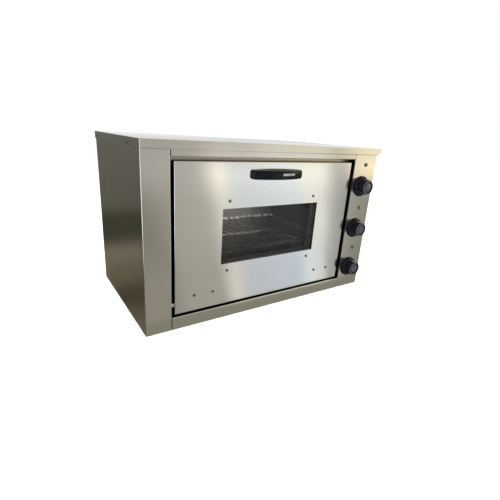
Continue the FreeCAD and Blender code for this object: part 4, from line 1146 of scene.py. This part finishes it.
@dataclass
class Controls:
    """Knobs, spindles, pilot lamps and what stands behind the fascia."""

    names: tuple[str, ...] = ("upper", "middle", "lower")
    skirt_rise: float = 10.0 * MM
    grip_radius: float = 25.0 * MM
    grip_tip: float = 24.5 * MM
    # Shares of the skirt's radius and rise.
    skirt_profile: Outline = ((0.0, 0.0), (0.975, 0.0), (1.0, 0.08), (1.0, 0.24), (0.985, 0.33),
                              (0.955, 0.56), (0.91, 0.74), (0.86, 0.87), (0.80, 0.955))
    # Millimetres out from the grip, and shares of the skirt's rise.
    collar_profile: Outline = ((0.9, 0.99), (0.3, 0.94), (-0.1, 1.0), (0.0, 1.12))
    # Millimetres in from the grip's tip and back from the knob's end.
    face_profile: Outline = ((0.0, 4.2), (0.7, 2.2), (2.1, 0.8), (3.8, 0.1), (5.2, 0.0), (6.2, 0.7),
                             (7.4, 2.0), (9.0, 2.3), (10.6, 1.6))
    # Shares of the tip's radius, and millimetres back from the knob's end.
    boss_profile: Outline = ((0.50, 0.7), (0.35, 0.2), (0.18, 0.0), (0.0, -0.1))
    face_depth: float = 3.0 * MM
    groove_from_tip: tuple[float, float] = (5.4 * MM, 10.0 * MM)
    pointer_width: float = 1.0 * MM
    pointer_sink: float = 1.0 * MM
    pointer_rise: float = 0.5 * MM
    pointer_foot: float = 13.0 * MM
    pointer_end: float = 4.2 * MM
    tick_count: int = 19
    tick_step: float = 15.0
    tick_from: float = 60.0
    tick_size: tuple[float, float, float] = (4.4 * MM, 2.0 * MM, 0.8 * MM)
    tick_rounding: float = 0.12 * MM
    tick_radius: float = 29.6 * MM
    tick_rise: float = 8.75 * MM
    tick_slope: float = 24.0
    lens_radius: float = 5.4 * MM
    lens_wall: float = 0.25
    lens_steps: int = 5
    bezel_radius: float = 6.5 * MM
    bezel_rise: float = 1.2 * MM
    bezel_inside: float = 0.96

    def build(self) -> None:
        """Dresses the controls and adds their fine parts."""
        dress([name + "_spindle" for name in self.names], Finish.SCREW)
        dress(("lamp_bodies", "upper_thermostat", "lower_thermostat", "timer", "terminal_block",
               "wiring_loom"), Finish.MATT)
        for name in self.names:
            self.knob(name)
        self.lamps()

    def knob(self, name: str) -> None:
        """A knob: dished skirt, plain grip and grooved face with a pointer; its dial marks don't show.

        Args:
            name: Its row.
        """
        low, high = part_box(name + "_knob")
        length, tip = high.y - low.y, self.grip_tip
        shape = bmesh.new()
        turned(shape, self.knob_outline((high.x - low.x) / 2, length), 72)
        nearer, farther = self.groove_from_tip
        # Painted highlight: the rim and middle of the face take the lighter face finish; the groove between
        # stays black.
        for face in shape.faces:
            place = face.calc_center_median()
            if place.z > length - self.face_depth and not tip - farther < place.xy.length < tip - nearer:
                face.material_index = 1
        for number in range(self.tick_count):
            self.tick(shape, number)
        half = self.pointer_width / 2
        painted(slab(shape, Vector((-half, tip - self.pointer_sink, self.pointer_foot)),
                     Vector((half, tip + self.pointer_rise, length - self.pointer_end))), 2)
        centre = Matrix.Translation(((low.x + high.x) / 2, high.y, (low.z + high.z) / 2))
        bmesh.ops.transform(shape, matrix=centre @ Matrix.Rotation(math.radians(90.0), 4, "X"),
                            verts=shape.verts)
        Piece(name + "_knob_turned", name + "_control", "black_gloss",
              (Finish.BLACK, Finish.FACE, Finish.PRINT), (name + "_knob",), 30.0).build(shape)

    def knob_outline(self, radius: float, length: float) -> list[tuple[float, float]]:
        """Outline of a knob, from the middle of its back round to the middle of its face.

        Args:
            radius: Radius of its skirt.
            length: From its back to its face.

        Returns:
            Radius and height of each point.
        """
        rise, grip, tip = self.skirt_rise, self.grip_radius, self.grip_tip
        return ([(radius * out, rise * up) for out, up in self.skirt_profile]
                + [(grip + out * MM, rise * up) for out, up in self.collar_profile]
                + [(tip - inwards * MM, length - back * MM) for inwards, back in self.face_profile]
                + [(tip * out, length - back * MM) for out, back in self.boss_profile])

    def tick(self, shape: bmesh.types.BMesh, number: int) -> None:
        """Adds a dial mark, which is meant for the skirt but isn't moved out to it.

        Args:
            shape: The bmesh to add to.
            number: Its place in the row, from the top and clockwise.
        """
        size = Vector(self.tick_size)
        verts = slab(shape, -size / 2, size / 2)
        rims = {edge for vert in verts for edge in vert.link_edges}
        # Rounding leaves its vertices tagged, so none is kept here, and each mark stays out of sight at
        # the middle of the knob's back. Without the test for tags the marks stand on the skirt.
        verts = [vert for vert in rounded(shape, list(rims), self.tick_rounding, 2) if not vert.tag]
        turn = Matrix.Rotation(math.radians(90.0 + self.tick_from - self.tick_step * number), 4, "Z")
        lean = Matrix.Rotation(math.radians(self.tick_slope), 4, "Y")
        place = Matrix.Translation((self.tick_radius, 0.0, self.tick_rise))
        bmesh.ops.transform(shape, matrix=turn @ place @ lean, verts=verts)
        painted(verts, 2)

    def lamps(self) -> None:
        """The pilot lamps: a faceted dome in a black bezel."""
        low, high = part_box("lamp_lenses")
        rise = high.y - low.y
        lens, inside, outside = self.lens_radius, self.lens_radius * self.bezel_inside, self.bezel_radius
        angles = [math.radians(90.0 * step / self.lens_steps) for step in range(1, self.lens_steps)]
        dome = [(lens * math.cos(angle), rise * (self.lens_wall + (1.0 - self.lens_wall) * math.sin(angle)))
                for angle in angles]
        ring = [(inside, 0.0), (outside, 0.0), (outside, self.bezel_rise * 0.6),
                (outside * 0.93, self.bezel_rise), (lens * 0.98, self.bezel_rise), (inside, 0.0)]
        shape = bmesh.new()
        for centre in islands("lamp_lenses"):
            before = set(shape.verts)
            turned(shape, [(0.0, 0.0), (lens, 0.0), *dome, (0.0, rise)], 24)
            painted(turned(shape, ring, 40), 1)
            moved(shape, added(shape, before), FORWARDS, Vector((centre.x, high.y, centre.z)))
        Piece("pilot_lamps", "root", "lamp_green", (Finish.GREEN, Finish.MATT), ("lamp_lenses",),
              40.0).build(shape)


# ---------------------------------------------------------------- studio

@dataclass(frozen=True)
class Lamp:
    """A square soft lamp."""

    name: str
    place: Triple
    aim: Triple
    size: float
    power: float
    colour: Colour

    def build(self) -> bpy.types.Object:
        """Hangs the lamp.

        Returns:
            The lamp.
        """
        data = bpy.data.lights.new(self.name, "AREA")
        data.size = self.size
        data.energy = self.power
        data.color = self.colour
        made = bpy.data.objects.new(self.name, data)
        bpy.context.scene.collection.objects.link(made)
        made.visible_glossy = False
        way = Vector(self.aim) - Vector(self.place)
        made.matrix_world = Matrix.Translation(self.place) @ way.to_track_quat("-Z", "Y").to_matrix().to_4x4()
        return made


@dataclass
class Studio:
    """Camera, floor, lamps and the cards that only show in the steel."""

    eye: Vector = field(init=False)
    eye_from_post: Triple = (-0.2358, -0.7757, 0.5146)
    heading: float = 34.90
    dip: float = 18.65
    roll: float = 3.84
    lens: float = 25.21
    floor_size: float = 30.0
    floor_glow: float = 0.45
    horizon_colour: Colour = (1.06, 1.06, 1.05)
    zenith_colour: Colour = (0.62, 0.63, 0.65)
    zenith_from: float = 0.8
    rack_power: float = 2.6
    card_rise: float = 0.6 * MM
    card_gap: float = 1.0 * MM
    front_start: float = 0.4
    front_reach: float = 2.3
    front_top: float = 2.8
    front_sweep: float = 75.0
    front_steps: int = 40
    band_lean: float = 0.22
    upright_at: float = 0.25
    low_bands: Bands = ((0.05, (0.42, 0.40, 0.34)), (0.12, (0.51, 0.48, 0.42)), (0.22, (0.53, 0.50, 0.43)),
                        (0.29, (0.92, 0.89, 0.80)), (0.36, (0.74, 0.78, 0.82)), (0.58, (0.77, 0.85, 0.94)),
                        (0.65, (1.02, 1.09, 1.12)), (0.71, (0.98, 1.00, 0.96)), (0.76, (0.56, 0.57, 0.56)),
                        (0.90, (0.36, 0.34, 0.28)))
    foot_colour: Colour = (0.35, 0.34, 0.27)
    foot_heights: tuple[float, float] = (0.030, 0.050)
    middle_bands: Bands = ((0.06, (0.32, 0.30, 0.25)), (0.10, (0.55, 0.53, 0.46)), (0.23, (0.57, 0.54, 0.47)),
                           (0.285, (1.05, 1.00, 0.88)), (0.345, (0.88, 0.92, 0.93)),
                           (0.58, (0.94, 1.04, 1.08)), (0.63, (1.12, 1.10, 0.98)),
                           (0.735, (1.25, 1.21, 1.10)), (0.775, (0.58, 0.60, 0.58)),
                           (0.84, (0.46, 0.46, 0.44)), (0.90, (0.38, 0.35, 0.29)))
    middle_heights: tuple[float, float] = (0.12, 0.30)
    high_bands: Bands = ((0.05, (0.60, 0.59, 0.55)), (0.21, (0.62, 0.60, 0.56)), (0.245, (1.00, 0.95, 0.82)),
                         (0.285, (2.00, 1.90, 1.58)), (0.33, (1.18, 1.21, 1.22)), (0.58, (1.30, 1.40, 1.43)),
                         (0.64, (1.52, 1.52, 1.36)), (0.75, (1.60, 1.57, 1.40)), (0.79, (0.60, 0.65, 0.62)),
                         (0.87, (0.58, 0.60, 0.56)), (0.93, (1.90, 1.55, 1.08)))
    high_heights: tuple[float, float] = (0.335, 0.42)
    brow_bands: Bands = ((0.10, (0.58, 0.57, 0.53)), (0.30, (0.62, 0.60, 0.54)), (0.42, (0.70, 0.62, 0.50)),
                         (0.50, (1.02, 0.92, 0.68)), (0.62, (0.90, 0.83, 0.60)), (0.72, (1.05, 0.95, 0.68)),
                         (0.82, (0.75, 0.70, 0.50)), (0.92, (1.45, 1.28, 0.95)))
    brow_heights: tuple[float, float] = (0.438, 0.456)
    side_reach: float = 2.6
    side_from: float = -0.6
    side_to: float = 0.8
    side_top: float = 1.8
    side_shift: float = 0.1
    side_bands: Bands = ((0.08, (0.17, 0.17, 0.153)), (0.20, (0.145, 0.14, 0.11)),
                         (0.31, (0.132, 0.126, 0.094)), (0.36, (0.050, 0.050, 0.030)),
                         (0.405, (0.055, 0.052, 0.034)), (0.46, (0.22, 0.19, 0.135)),
                         (0.52, (0.17, 0.145, 0.10)), (0.60, (0.08, 0.066, 0.042)),
                         (0.72, (0.16, 0.145, 0.10)))

    def __post_init__(self) -> None:
        """Places the eye, measured from the foot of the left post's outer corner."""
        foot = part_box("left_post")[0]
        self.eye = Vector((foot.x, foot.y, 0.0)) + Vector(self.eye_from_post)

    def build(self) -> None:
        """Sets up the whole studio."""
        bpy.context.scene.view_settings.view_transform = "Standard"
        self.camera()
        self.floor()
        self.sky()
        self.lamps()
        self.front_card()
        self.side_card()

    def camera(self) -> None:
        """The camera, a little above the lid, at the oven's front left."""
        data = bpy.data.cameras.new("camera")
        data.lens = self.lens
        data.clip_start, data.clip_end = 0.01, 100.0
        made = bpy.data.objects.new("camera", data)
        bpy.context.scene.collection.objects.link(made)
        heading, dip = math.radians(self.heading), math.radians(self.dip)
        ahead = Vector((math.sin(heading) * math.cos(dip), math.cos(heading) * math.cos(dip), -math.sin(dip)))
        turn = ahead.to_track_quat("-Z", "Y").to_matrix()
        tilt = Matrix.Rotation(math.radians(self.roll), 3, ahead)
        made.matrix_world = Matrix.Translation(self.eye) @ (tilt.inverted() @ turn).to_4x4()
        bpy.context.scene.camera = made

    def floor(self) -> None:
        """A plain pale floor."""
        shape = bmesh.new()
        bmesh.ops.create_grid(shape, x_segments=1, y_segments=1, size=self.floor_size)
        recipe = Recipe("floor_paint")
        speck = recipe.noise(recipe.place(), 3.0, 3.0)
        tone = recipe.mix(speck, (0.86, 0.86, 0.86), (0.90, 0.90, 0.90))
        self.stage("floor", shape, recipe.surface(Base_Color=tone, Roughness=0.9, Emission_Color=tone,
                                                  Emission_Strength=self.floor_glow))

    def stage(self, name: str, shape: bmesh.types.BMesh, material: bpy.types.Material,
              only_glossy: bool = False) -> bpy.types.Object:
        """Adds an object of the studio.

        Args:
            name: Its name.
            shape: Its bmesh, which is freed.
            material: Its material.
            only_glossy: Whether it shows in reflections alone.

        Returns:
            The object.
        """
        mesh = bpy.data.meshes.new(name)
        shape.to_mesh(mesh)
        shape.free()
        mesh.materials.append(material)
        made = bpy.data.objects.new(name, mesh)
        bpy.context.scene.collection.objects.link(made)
        if only_glossy:
            made.visible_camera = False
            made.visible_diffuse = False
            made.visible_transmission = False
            made.visible_shadow = False
        return made

    def sky(self) -> None:
        """An even white backdrop that lights the oven softly, a little stronger from above."""
        world = bpy.data.worlds.new("sky")
        bpy.context.scene.world = world
        recipe = Recipe("sky", world)
        place = recipe.node("ShaderNodeTexCoord", result="Generated")
        rise = recipe.node("ShaderNodeSeparateXYZ", None, {0: place}, "Z")
        tone = recipe.mix(rise / self.zenith_from, self.horizon_colour, self.zenith_colour)
        light = recipe.node("ShaderNodeBackground", None, {"Color": tone})
        seen = recipe.node("ShaderNodeBackground", None, {"Color": (1.0, 1.0, 1.0, 1.0)})
        direct = recipe.node("ShaderNodeLightPath", result="Is Camera Ray")
        both = recipe.node("ShaderNodeMixShader", None, {0: direct, 1: light, 2: seen})
        recipe.node("ShaderNodeOutputWorld", None, {"Surface": both})

    def lamps(self) -> None:
        """Soft lamps over and in front of the oven, and a hidden one for the rack."""
        Lamp("key_lamp", (-1.6, -2.2, 2.6), (0.0, 0.0, 0.2), 1.8, 70.0, (1.0, 0.98, 0.95)).build()
        Lamp("fill_lamp", (2.4, -1.4, 1.8), (0.0, 0.0, 0.2), 1.6, 30.0, (0.96, 0.98, 1.0)).build()
        Lamp("top_lamp", (0.0, 0.6, 3.2), (0.0, 0.0, 0.0), 2.4, 60.0, (1.0, 1.0, 1.0)).build()
        self.rack_lamp()

    def rack_lamp(self) -> None:
        """A thin lamp hidden behind the top of the door that catches the rack's rear rod."""
        rack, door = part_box("wire_rack"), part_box("door_inner_panel")
        centre = (rack[0].x + rack[1].x) / 2
        behind, under = 20.0 * MM, 60.0 * MM
        made = Lamp("rack_lamp", (centre, door[1].y + behind, door[1].z - under),
                    (centre, rack[1].y, rack[0].z), 0.40, self.rack_power, (1.0, 0.97, 0.90)).build()
        made.data.shape = "RECTANGLE"
        made.data.size_y = 12.0 * MM
        made.data.spread = math.radians(40.0)
        made.visible_glossy = True

    def front_card(self) -> None:
        """Card in front, from the floor up a wall: soft upright bands, warmer and brighter above."""
        post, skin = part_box("left_post")[0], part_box("door_skin")[0].y
        left, right = post.x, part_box("lid")[1].x
        eye = Vector((self.eye.x, 2 * skin - self.eye.y, self.eye.z))
        shape = bmesh.new()
        reach = eye.y - skin + self.front_reach
        ground = Vector((eye.x, eye.y, 0.0))
        chain = [shape.verts.new(ground + Vector((0, -out, up))) for out, up in
                 ((self.front_start, self.card_rise), (reach, self.card_rise), (reach, self.front_top))]
        edges = [shape.edges.new(pair) for pair in zip(chain, chain[1:])]
        bmesh.ops.spin(shape, geom=chain + edges, cent=ground, axis=(0, 0, 1),
                       angle=math.radians(self.front_sweep), steps=self.front_steps)
        bmesh.ops.bisect_plane(shape, geom=shape.verts[:] + shape.edges[:] + shape.faces[:], dist=NEAR,
                               plane_co=(0, post.y - self.card_gap, 0), plane_no=(0, 1, 0),
                               clear_outer=True)
        recipe = Recipe("front_card_paint")
        x, y, z = recipe.axes()
        share = (eye.y - skin) / (eye.y - y)
        height = eye.z - (eye.z - z) * share
        across = (x - eye.x) * share + eye.x + (height - self.upright_at) * self.band_lean
        width = (across - left) / (right - left)
        tone = recipe.ramp(width, self.low_bands)
        tone = recipe.mix(height.span(*self.foot_heights), self.foot_colour, tone)
        for heights, bands in ((self.middle_heights, self.middle_bands), (self.high_heights, self.high_bands),
                               (self.brow_heights, self.brow_bands)):
            tone = recipe.mix(height.span(*heights), tone, recipe.ramp(width, bands))
        glow = recipe.node("ShaderNodeEmission", None, {"Color": tone})
        self.stage("front_card", shape, recipe.finish(glow), True)

    def side_card(self) -> None:
        """Dark card beyond the left side, in level bands, which that side's steel reflects."""
        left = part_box("left_side_panel")[0].x
        low = Vector((left - self.side_reach, self.side_from, self.card_rise))
        high = Vector((left - self.card_gap, self.side_to, self.side_top))
        shape = bmesh.new()
        corners = [shape.verts.new((low.x, y, low.z)) for y in (low.y, high.y)]
        corners.append(shape.verts.new((low.x, high.y, high.z)))
        strips = [shape.edges.new(pair) for pair in zip(corners, corners[1:])]
        ends = pulled(bmesh.ops.extrude_edge_only(shape, edges=strips)["geom"])
        bmesh.ops.translate(shape, vec=(high.x - low.x, 0, 0), verts=ends)
        recipe = Recipe("side_card_paint")
        _, y, z = recipe.axes()
        fall = (self.eye.z - z) / (y - self.eye.y)
        glow = recipe.node("ShaderNodeEmission", None,
                           {"Color": recipe.ramp(fall + self.side_shift, self.side_bands)})
        self.stage("side_card", shape, recipe.finish(glow), True)


def main() -> None:
    """Builds the sub-assemblies in order and reports each piece."""
    logging.basicConfig(level=logging.INFO, format="%(name)s: %(message)s")
    for part in (Studio(), Casing(), Chamber(), Door(), Controls()):
        part.build()


if __name__ == "__main__":
    main()
